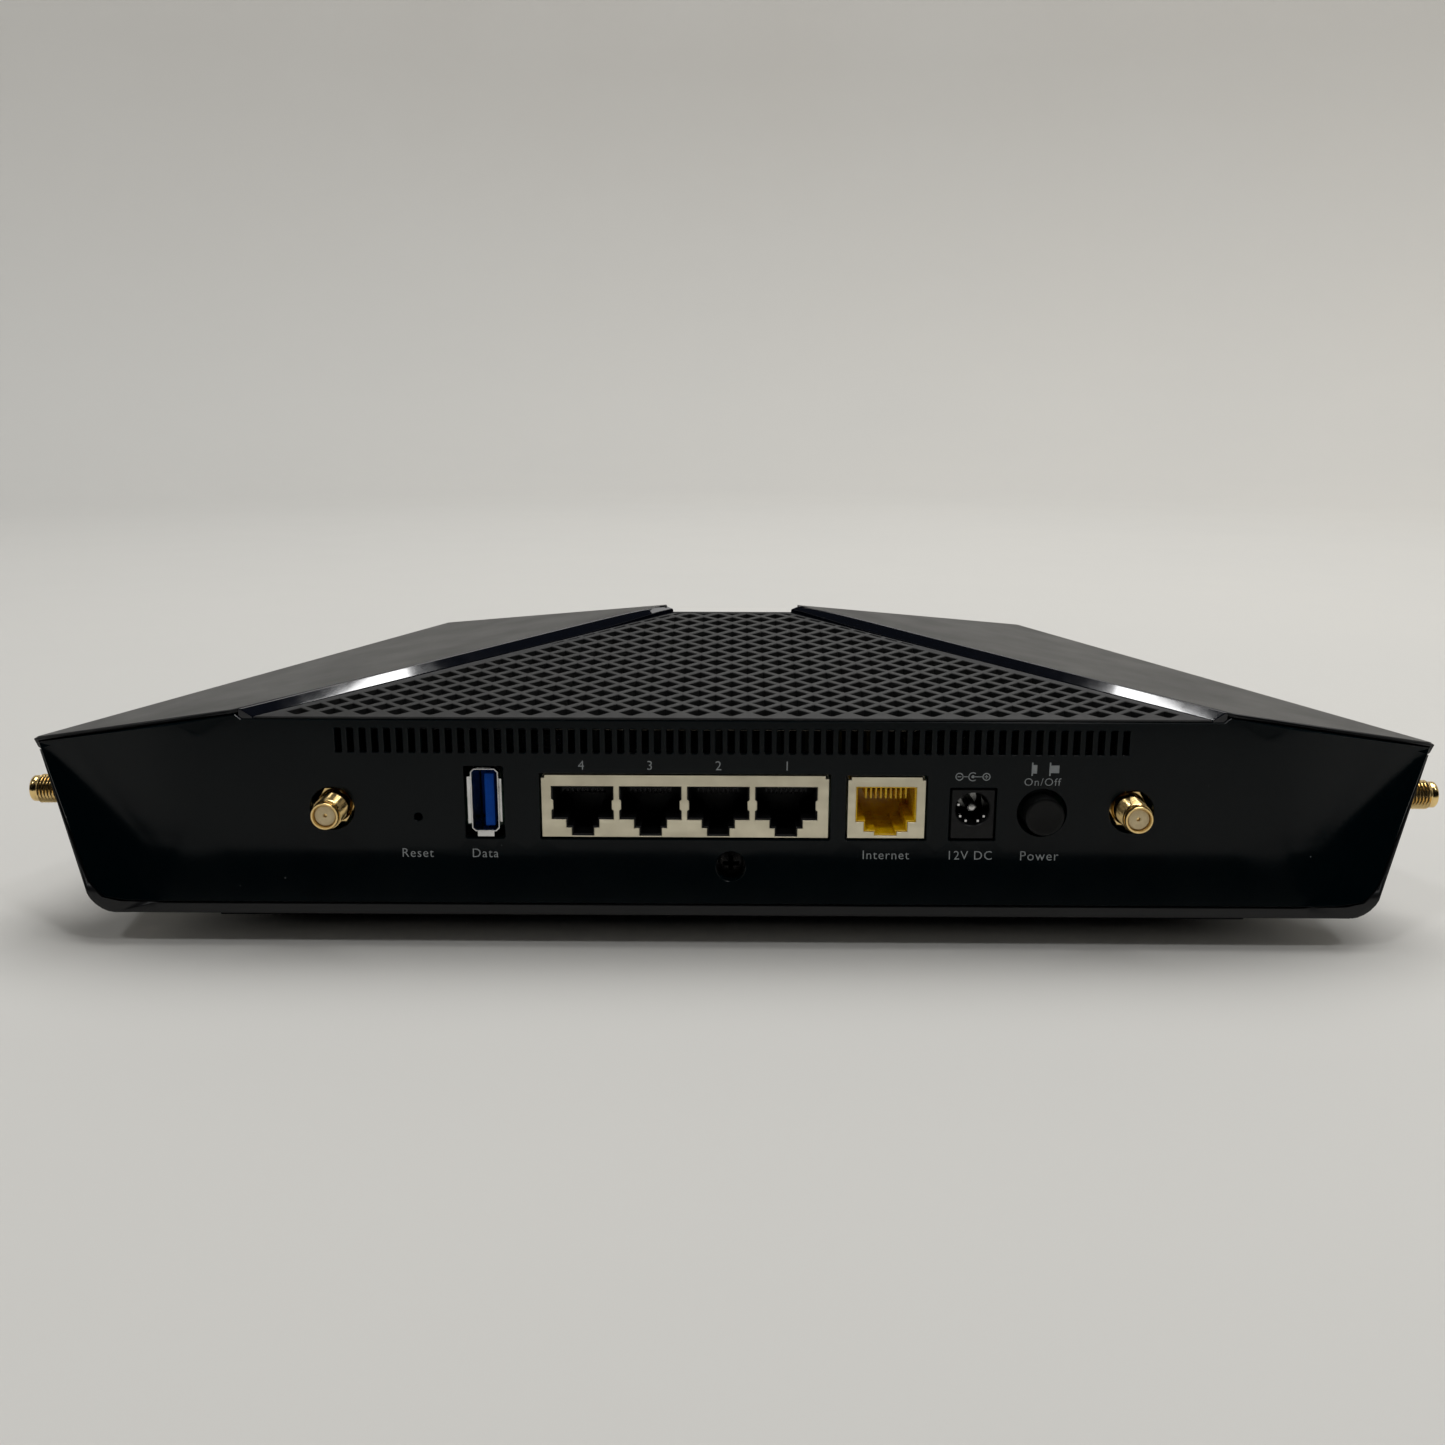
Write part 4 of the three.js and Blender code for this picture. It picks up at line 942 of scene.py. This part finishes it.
def trim_strip(side, name):
    """Glossy strip: a flat face tilted from the wing's edge down to the grille."""
    shape = Shape()
    rings = []
    steps, start, end_gap = 28, 0.5, 0.4
    below_wing, below_grille, lip_width, thickness = 0.12, 0.15, 0.5, 1.0
    nose_outwards, nose_drop, nose_fill = 0.7, 0.8, 0.74        # how the nose rounds off
    for step in range(steps + 1):
        depth = start + (WING_TIP[1] - start - end_gap) * step / steps
        nose = max(0.0, depth - TRIM_NOSE_START) / (WING_TIP[1] - TRIM_NOSE_START - end_gap)
        outer = trough_half(depth, GAP * 0.4)
        inner = trough_half(depth, TRIM_WIDTH) + nose_outwards * nose ** 3
        top = wing_height(outer, depth) - below_wing - nose_drop * nose ** 5
        low = grille_height(depth) - below_grille
        low += nose_fill * max(top - 0.3 - low, 0.0) * nose ** 1.6
        lip = outer - lip_width - lip_width * nose ** 2
        section = [(outer, top), (lip, top - 0.02), (inner + 0.15, low + 0.1), (inner, low - 0.25)]
        section += [(inner, low - thickness), (outer, low - thickness)]
        rings.append([(side * x, depth, z) for x, z in section])
    shape.loft(rings)
    shape.finish(name + "_gloss", [name], bevel=0.12, smooth_angle=20.0)


# ---- Connectors on the rear panel
def flat_lift(start):
    """Lift for a plate that stands upright at a depth."""
    return lambda x, height, below: (x, start + below, height)


def strip(shape, x, path, width, thickness):
    """A flat strip of metal that follows (depth, height) points."""
    rings = []
    for i, (depth, height) in enumerate(path):
        before, after = path[max(i - 1, 0)], path[min(i + 1, len(path) - 1)]
        run, rise = after[0] - before[0], after[1] - before[1]
        half = thickness / 2 / math.hypot(run, rise)
        d, z = -rise * half, run * half
        corners = box_corners((x - width / 2, x + width / 2), (-1, 1))
        rings.append([(across, depth + way * d, height + way * z) for across, way in corners])
    shape.loft(rings)


def mouth_outline(centre, mouth, grow, spring=0.0):
    """Modular jack mouth: wide above, two steps down for the latch; springs narrow the sides."""
    half, top, shoulder, step_half, step, slot_half, slot = mouth
    right = [
        (slot_half + grow, slot - grow),
        (slot_half + grow, step - grow),
        (step_half + grow, step - grow),
        (step_half + grow, shoulder - grow),
        (half + grow, shoulder - grow),
    ]
    if spring:
        side, pressed = half + grow, half + grow - spring
        right += [(side, 29.2), (pressed, 29.5), (pressed, 31.3), (side, 31.6)]
    right.append((half + grow, top + grow))
    left = [(-x, z) for x, z in reversed(right)]
    return [(centre + x, z) for x, z in right + left]


def jack_shield(name, face, centres, mouth, spring):
    """Pressed steel front with the jack mouths, folded back along top and sides."""
    shape = Shape()
    left, right, low, high = face
    notch, sheet = 0.7, 0.3
    shoulder = high - notch
    outline = [(left, low), (right, low), (right, shoulder), (right - notch, shoulder)]
    outline += [(right - notch, high), (left + notch, high), (left + notch, shoulder), (left, shoulder)]
    mouths = [mouth_outline(centre, mouth, GAP, spring) for centre in centres]
    plate(shape, outline, mouths, flat_lift(JACK_FACE_DEPTH), sheet, 0.1)
    start = JACK_FACE_DEPTH + 0.12
    for x in (left, right - sheet):
        shape.block((x, x + sheet), (start, JACK_DEEP), (low, shoulder - 0.1))
    across = (left + notch + 0.1, right - notch - 0.1)
    shape.block(across, (start, JACK_DEEP), (high - sheet, high))
    shape.finish(name + "_press", [name], smooth_angle=25.0)


def jack_insert(name, face, centre, width, mouth, comb):
    """Plastic insert of a modular jack, with a comb between its eight contact wires."""
    shape = Shape()
    rib_half, wire_width, wire_thickness = 0.17, 0.46, 0.3
    sides, heights = (centre - width / 2, centre + width / 2), (face[2], face[3] - 0.75)
    start, deep = JACK_FACE_DEPTH + 0.35, 12.4
    mouths = [mouth_outline(centre, mouth, 0.0)]
    plate(shape, box_corners(sides, heights), mouths, flat_lift(start), deep, 0.2)
    shape.block(sides, (start + deep, JACK_DEEP - 0.5), heights)
    top = mouth[1]
    for i in range(9):
        x = centre + (i - 4) * CONTACT_PITCH
        shape.block((x - rib_half, x + rib_half), (start + 0.9, start + 9), (top - comb, top + 0.1))
    shape.material = 1
    bends = ((0.7, 0.25), (1.5, 0.45), (8.2, 3.4), (10.5, 3.9))
    path = [(start + inwards, top - down) for inwards, down in bends]
    for i in range(8):
        strip(shape, centre + (i - 3.5) * CONTACT_PITCH, path, wire_width, wire_thickness)
    slot = SLOT_OF[name]
    # painted shade: the LAN contact wires take the near-black chip finish instead of gold, standing in
    # for the shade inside the jack
    wires = GOLD if slot == "yellow_insert" else FINISH["chip_package"]
    shape.finish(name + "_moulded", [name], [FINISH[slot], wires], smooth_angle=25.0)


def side_flap(shape, path, heights):
    """Thin flared flap: (x, depth) points swept between two heights."""
    rings = []
    low, high, thickness = heights[0], heights[1], 0.3
    for x, depth in path:
        back = depth + thickness
        rings.append([(x, depth, low), (x, depth, high), (x, back, high), (x, back, low)])
    shape.loft(rings)


def data_port():
    """Steel shell with a flared flap on each side and a tab below and above."""
    left, right, low, high = DATA_FACE
    middle, centre = (low + high) / 2, (left + right) / 2
    shape = Shape()
    outline = rounded_box(left, right, low, high, 0.75, 1)
    plate(shape, outline, [inset(outline, 0.3)], flat_lift(0.2), 13.4, 0.08)
    left_flare = [(left + 0.1, 0.5), (left - 0.2, 0.42), (left - 0.65, 0.2)]
    right_flare = [(right - 0.1, 0.5), (right + 0.15, 0.42), (right + 0.6, 0.15)]
    for flare, half in ((left_flare, 5.0), (right_flare, 4.6)):
        side_flap(shape, flare, (middle - half, middle + half))
    strip(shape, centre, [(0.3, low + 0.1), (0.3, low - 1.0)], 3.4, 0.2)
    strip(shape, centre, [(0.6, high - 0.1), (0.5, high + 0.1), (0.3, high + 0.35)], 3.2, 0.25)
    shape.finish("data_port_press", ["data_port_shell"], [BRIGHT_STEEL], smooth_angle=25.0)


def data_port_tongue():
    left, right, low, high = DATA_FACE
    tongue, first_contact, contact_pitch = (-50.68, -48.74), 27.2, 2.5
    shape = Shape()
    shape.block(tongue, (1.2, 10.5), (25.7, 36.8))
    shape.block((left + 0.5, right - 0.5), (9.9, 13.4), (low + 0.5, high - 0.5))
    shape.material = 1
    for i in range(4):
        z = first_contact + i * contact_pitch
        shape.block((tongue[0] - 0.06, tongue[0] + 0.08), (2.0, 9.0), (z, z + 1.0))
    materials = [FINISH["blue_insert"], GOLD]
    shape.finish("data_port_tongue_moulded", ["data_port_tongue"], materials, bevel=0.15)


def power_inlet():
    """Moulded body with its spring contact and small bright contact ends low in the bore."""
    left, right, low, high = DC_FACE
    x, height, radius = DC_BORE
    front, deep, back = 0.3, 10.2, 14.0
    tick_ring, tick_half = 2.95, 0.22
    shape = Shape()
    outline = rounded_box(left, right, low, high, 0.3, 2)
    plate(shape, outline, [circle(x, height, radius, 48)], flat_lift(front), deep, 0.22)
    shape.block((left, right), (front + deep, back), (low, high))
    shape.material = 1
    spring = [(x + 3.42, 1.4), (x + 2.7, 4.5), (x + 3.1, 9.5)]
    side_flap(shape, spring, (height - 0.9, height + 0.9))
    for angle in (165, -145, -115, -65, -35):
        turn = math.radians(angle)
        across, up = x + tick_ring * math.cos(turn), height + tick_ring * math.sin(turn)
        wide, tall = (across - tick_half, across + tick_half), (up - tick_half, up + tick_half)
        shape.block(wide, (1.0, 2.4), tall)
    materials = [FINISH["black_insert"], BRIGHT_STEEL]
    shape.finish("power_inlet_body", ["dc_jack_body"], materials, smooth_angle=25.0)


def power_inlet_pin():
    x, height, _ = DC_BORE
    shape = Shape()
    profile = [(0.15, 1.6), (0.6, 1.68), (0.92, 1.95), (1.05, 2.4), (1.05, 9.2), (2.2, 9.2), (2.2, 10.2)]
    shape.turned(profile, 32, facing_rear(x, 0.0, height))
    shape.finish("power_inlet_pin", ["dc_jack_pin"], smooth_angle=30.0)


def push_button(piece, node, place, profile, sides):
    """Turned button that slides along the depth; the profile is (radius, depth) points."""
    shape = Shape()
    shape.turned(profile, sides, facing_rear(place[0], 0.0, place[1]))
    shape.finish(piece, [node], body=node, smooth_angle=40.0)


def power_button():
    cap, stem = POWER_BUTTON[2], 1.6
    profile = [(0.1, -2.82), (2.0, -2.86), (cap - 0.7, -2.98), (cap - 0.4, -3.0), (cap - 0.12, -2.88)]
    profile += [(cap, -2.6), (cap, 4.5), (stem, 4.5), (stem, 13.4)]
    push_button("power_button_cap", "power_button", POWER_BUTTON, profile, 64)


def reset_plunger():
    profile = [(0.1, 3.4), (1.1, 3.4), (1.3, 3.6), (1.3, 5.9)]
    push_button("reset_plunger", "reset_button", RESET_HOLE, profile, 24)


def cross_outline(reach, half):
    """Outline of a cross recess, anticlockwise."""
    arm = [(reach, -half), (reach, half), (half, half)]
    loop = []
    for quarter in range(4):
        turn = math.radians(90 * quarter)
        c, s = math.cos(turn), math.sin(turn)
        loop += [(x * c - z * s, x * s + z * c) for x, z in arm]
    return loop


def screw(name, node, base, radius, shank_radius, length):
    """Pan head screw with a cross recess; its head starts at the base's origin."""
    shape = Shape()
    crown, recess, under_head = 0.5, 1.0, 1.5

    def lift(u, v, below):
        drop = crown * (u * u + v * v) / radius ** 2
        return tuple(base @ Vector((u, v, drop + below)))

    cross = cross_outline(0.62 * radius, 0.14 * radius)
    plate(shape, circle(0, 0, radius, 40), [cross], lift, recess, 0.12)
    rim = radius - 0.1
    profile = [(rim, recess), (rim, under_head), (shank_radius, under_head), (shank_radius, length)]
    shape.turned(profile, 32, base)
    shape.finish(name, [node], smooth_angle=30.0)


# ---- Antenna jacks: laid out along the third axis of a base, the tip at zero
def threaded(shape, base, start, end, sides=40):
    """Cylinder with a helical thread."""
    steps_per_turn, full_cut, run_in = 6, 0.36, 0.5
    steps = int((end - start) / THREAD_PITCH * steps_per_turn)
    rings = []
    for step in range(steps + 1):
        along = start + (end - start) * step / steps
        cut = full_cut * min(1.0, (along - start) / run_in)
        blank = THREAD_RADIUS - (full_cut - cut if along < start + 0.3 else 0.0)
        ring = []
        for i in range(sides):
            phase = (along / THREAD_PITCH + i / sides) % 1.0
            radius = blank - cut * abs(2 * phase - 1)
            angle = 2 * math.pi * i / sides
            place = Vector((radius * math.cos(angle), radius * math.sin(angle), along))
            ring.append(tuple(base @ place))
        rings.append(ring)
    shape.loft(rings)


def antenna_jack(label, base, nut_start):
    """Threaded jack with its insulator and nut, three pieces."""
    bore, lip, flange, stem = 2.3, 2.82, 4.6, 2.6
    thread_start, flange_start, flange_end = 1.3, 12.4, 14.0
    shape = Shape()
    profile = [(bore, 6.0), (bore, 0.2), (2.42, 0.0), (2.72, 0.0), (lip, 0.12), (lip, 0.9)]
    profile += [(2.62, 1.2), (2.62, 2.0)]
    shape.turned(profile, 48, base)
    threaded(shape, base, thread_start, flange_start)
    profile = [(3.0, flange_start), (4.5, flange_start), (flange, 12.5), (flange, flange_end)]
    profile += [(stem, flange_end), (stem, JACK_LENGTH)]
    shape.turned(profile, 48, base)
    shape.finish("jack_turned_" + label, ["antenna_jack_" + label], smooth_angle=50.0)

    shape = Shape()
    profile = [(0.42, 3.5), (0.42, 0.75), (0.55, 0.62), (2.0, 0.62), (2.2, 0.8), (2.2, 5.7)]
    shape.turned(profile, 40, base)
    shape.finish("jack_dielectric_" + label, ["antenna_insulator_" + label], smooth_angle=40.0)

    shape = Shape()

    def lift(u, v, below):
        return tuple(base @ Vector((u, v, nut_start + below)))

    hexagon, hole, thickness = circle(0, 0, 4.3, 6), circle(0, 0, 3.4, 36), 1.9
    plate(shape, hexagon, [hole], lift, thickness, 0.18)
    shape.finish("jack_nut_" + label, ["antenna_nut_" + label], smooth_angle=25.0)


def foot(index, centre):
    """Rubber foot with a shallow dish in its underside."""
    hollow, radius, top = 0.25, 8.0, 2.7
    profile = [(0.1, hollow), (5.6, hollow), (5.9, 0.0), (7.4, 0.0)]
    profile += [(7.8, 0.18), (radius, 0.6), (radius, top)]
    shape = Shape()
    shape.turned(profile, 56, Matrix.Translation((*centre, 0.0)))
    shape.finish(f"rubber_foot_{index}", [f"foot_{index}"], smooth_angle=40.0)


# ---- Print on the rear panel
def text_mesh(words):
    """Flat letters as vertices and faces, from Blender's built-in font."""
    curve = bpy.data.curves.new("words", "FONT")
    curve.body = words
    curve.resolution_u = 3
    curve.offset = -0.006
    curve.space_character = 1.12
    holder = bpy.data.objects.new("words", curve)
    show(holder)
    bpy.context.view_layer.update()
    flat = holder.evaluated_get(bpy.context.evaluated_depsgraph_get()).to_mesh()
    points = [(v.co.x, v.co.y) for v in flat.vertices]
    faces = [tuple(polygon.vertices) for polygon in flat.polygons]
    bpy.data.objects.remove(holder)
    return points, faces


def ink(shape, points, faces):
    """Lay flat (x, height) faces on the rear face."""
    made = [shape.point((x, rear_depth(x, z) - 0.05, z)) for x, z in points]
    for corners in faces:
        if len(set(corners)) > 2:
            shape.face([made[i] for i in corners])


def ink_box(shape, x, z):
    ink(shape, box_corners(x, z), [(0, 1, 2, 3)])


def ink_ring(shape, x, z, radius, width, start=0, end=360):
    """Ring or open arc, angles in degrees."""
    steps = 28
    points = []
    for step in range(steps + 1):
        angle = math.radians(start + (end - start) * step / steps)
        for r in (radius - width / 2, radius + width / 2):
            points.append((x + r * math.cos(angle), z + r * math.sin(angle)))
    ink(shape, points, [(2 * i, 2 * i + 1, 2 * i + 3, 2 * i + 2) for i in range(steps)])


def rear_print():
    shape = Shape()
    for words, middle, upright in LABELS:
        points, faces = text_mesh(words)
        xs, ys = [p[0] for p in points], [p[1] for p in points]
        scale = (upright[1] - upright[0]) / (max(ys) - min(ys))
        centre = (min(xs) + max(xs)) / 2
        base = min(ys)
        laid = [(middle + (x - centre) * scale, upright[0] + (y - base) * scale) for x, y in points]
        ink(shape, laid, faces)
    # button symbols: pressed in, and standing out
    ink_box(shape, (61.1, 61.4), (37.2, 40.0))
    ink_box(shape, (61.4, 62.2), (37.7, 39.5))
    ink_box(shape, (64.7, 65.0), (37.2, 40.0))
    ink_box(shape, (65.0, 66.7), (37.8, 39.4))
    # polarity symbol: minus ring, open arc with a dot, plus ring
    height = 36.95
    for x in (46.5, 52.0):
        ink_ring(shape, x, height, 0.72, 0.2)
        ink_box(shape, (x - 0.38, x + 0.38), (height - 0.09, height + 0.09))
    ink_box(shape, (51.91, 52.09), (height - 0.38, height + 0.38))
    ink_ring(shape, 49.25, height, 0.85, 0.2, 50, 310)
    ink_ring(shape, 49.25, height, 0.16, 0.32)
    ink_box(shape, (47.22, 48.4), (height - 0.08, height + 0.08))
    ink_box(shape, (49.4, 51.28), (height - 0.08, height + 0.08))
    shape.finish("rear_print", (), [print_ink()], smooth_angle=30.0)


# ---- Cover and case: the CAD solids with softened edges
def flared(place):
    """The side walls of the case stand out a little more from the rounded floor edge upwards."""
    sideways = clamp((abs(place.x) / MM - CASE_FLARE_FROM[0]) / CASE_FLARE_RUN[0])
    upwards = clamp((place.z / MM - CASE_FLARE_FROM[1]) / CASE_FLARE_RUN[1])
    place.x += math.copysign(CASE_FLARE * MM * sideways * upwards, place.x)


def blunted(place):
    """The corner points of the wing tips beside the ridge sit a little lower."""
    across = abs(place.x) / MM - WING_TIP[0]
    along = place.y / MM - DEPTH_SHIFT - WING_TIP[1]
    up = place.z / MM - WING_TIP[2]
    if across < 1.5 and -1.5 < along < 1.0 and up > -1.7:
        place.z -= TIP_DROP * MM


def dipped(place):
    """The front band starts below the ridge, out of sight from behind."""
    past = (place.y / MM - DEPTH_SHIFT - WING_TIP[1]) / BAND_DIP_LENGTH
    place.z -= BAND_DIP * MM * clamp(1.0 - past)


def softened_copy(node, name, width, least_length, least_angle, body="case", reshape=None, fold=None):
    """A copy of a CAD node whose long outer edges are rounded; a fold is a depth where it may bend."""
    mesh = bmesh.new()
    mesh.from_mesh(frame["nodes"][node].data)
    bmesh.ops.remove_doubles(mesh, verts=mesh.verts, dist=1e-6)
    bmesh.ops.dissolve_limit(mesh, angle_limit=math.radians(0.5), verts=mesh.verts, edges=mesh.edges)
    if fold:
        everything = mesh.verts[:] + mesh.edges[:] + mesh.faces[:]
        place = at(0.0, fold, 0.0)
        bmesh.ops.bisect_plane(mesh, geom=everything, plane_co=place, plane_no=(0.0, 1.0, 0.0))
    if reshape:
        for vertex in mesh.verts:
            reshape(vertex.co)
    chosen = []
    for edge in mesh.edges:
        if len(edge.link_faces) == 2 and edge.calc_length() > least_length * MM:
            angle = edge.calc_face_angle_signed(0.0)
            if angle > math.radians(least_angle):
                chosen.append(edge)
    bmesh.ops.bevel(mesh, geom=chosen, offset=width * MM, offset_type="OFFSET", segments=3, profile=0.5,
                    affect="EDGES", clamp_overlap=False)
    piece = mesh_object(name, mesh, [FINISH[SLOT_OF[node]]])
    settle(piece, [node], body, 0.0, 30.0)
    flatten = piece.modifiers.new("flat faces", "WEIGHTED_NORMAL")
    flatten.weight = 100
    flatten.keep_sharp = True


# ---- Assembly
make_camera()
make_stage(studio_paper())
make_dark_cards(card_black())
make_light()

for node, piece in frame["nodes"].items():
    finish = FINISH[SLOT_OF[node]]
    for slot in piece.material_slots:
        slot.material = finish

rear_panel()
vent_grille()
trim_strip(-1, "trim_strip_left")
trim_strip(1, "trim_strip_right")
softened_copy("top_cover", "cover_shell", 0.35, 5.0, 10.0, reshape=blunted)
softened_copy("bottom_case", "case_shell", 0.3, 5.0, 35.0, reshape=flared)
band_fold = WING_TIP[1] + BAND_DIP_LENGTH
softened_copy("front_window", "window_band", 0.2, 1.0, 30.0, reshape=dipped, fold=band_fold)
for name in ("pairing_button", "wireless_button"):
    softened_copy(name, name + "_cap", 0.3, 0.8, 60.0, name)

jack_shield("lan_jack_shield", LAN_FACE, LAN_CENTRES, LAN_MOUTH, 0.4)
for index, centre in enumerate(LAN_CENTRES):
    jack_insert(f"lan_jack_insert_{4 - index}", LAN_FACE, centre, 13.4, LAN_MOUTH, 1.0)
jack_shield("wan_jack_shield", WAN_FACE, (WAN_CENTRE,), WAN_MOUTH, 0.0)
jack_insert("wan_jack_insert", WAN_FACE, WAN_CENTRE, 14.3, WAN_MOUTH, 2.4)
data_port()
data_port_tongue()
power_inlet()
power_inlet_pin()
power_button()
reset_plunger()
in_recess = facing_rear(REAR_SCREW[0], 1.2, REAR_SCREW[1])
screw("rear_screw_head", "rear_screw", in_recess, 2.7, 1.4, 9.8)

side_depth, side_height, side_tip = SIDE_JACK
for side, label in ((-1, "left"), (1, "right")):
    on_rear = facing_rear(side * REAR_JACK[0], JACK_TIP_DEPTH, REAR_JACK[1])
    antenna_jack("rear_" + label, on_rear, 8.3)
    on_side = facing_side(side, side * side_tip, side_depth, side_height)
    antenna_jack("side_" + label, on_side, 9.0)

for index, centre in enumerate(FOOT_CENTRES):
    foot(index + 1, centre)
for index, centre in enumerate(CASE_SCREWS):
    below = Matrix.Translation((*centre, 3.4))
    screw(f"case_screw_head_{index + 1}", f"case_screw_{index + 1}", below, 3.1, 1.45, 28.6)
rear_print()
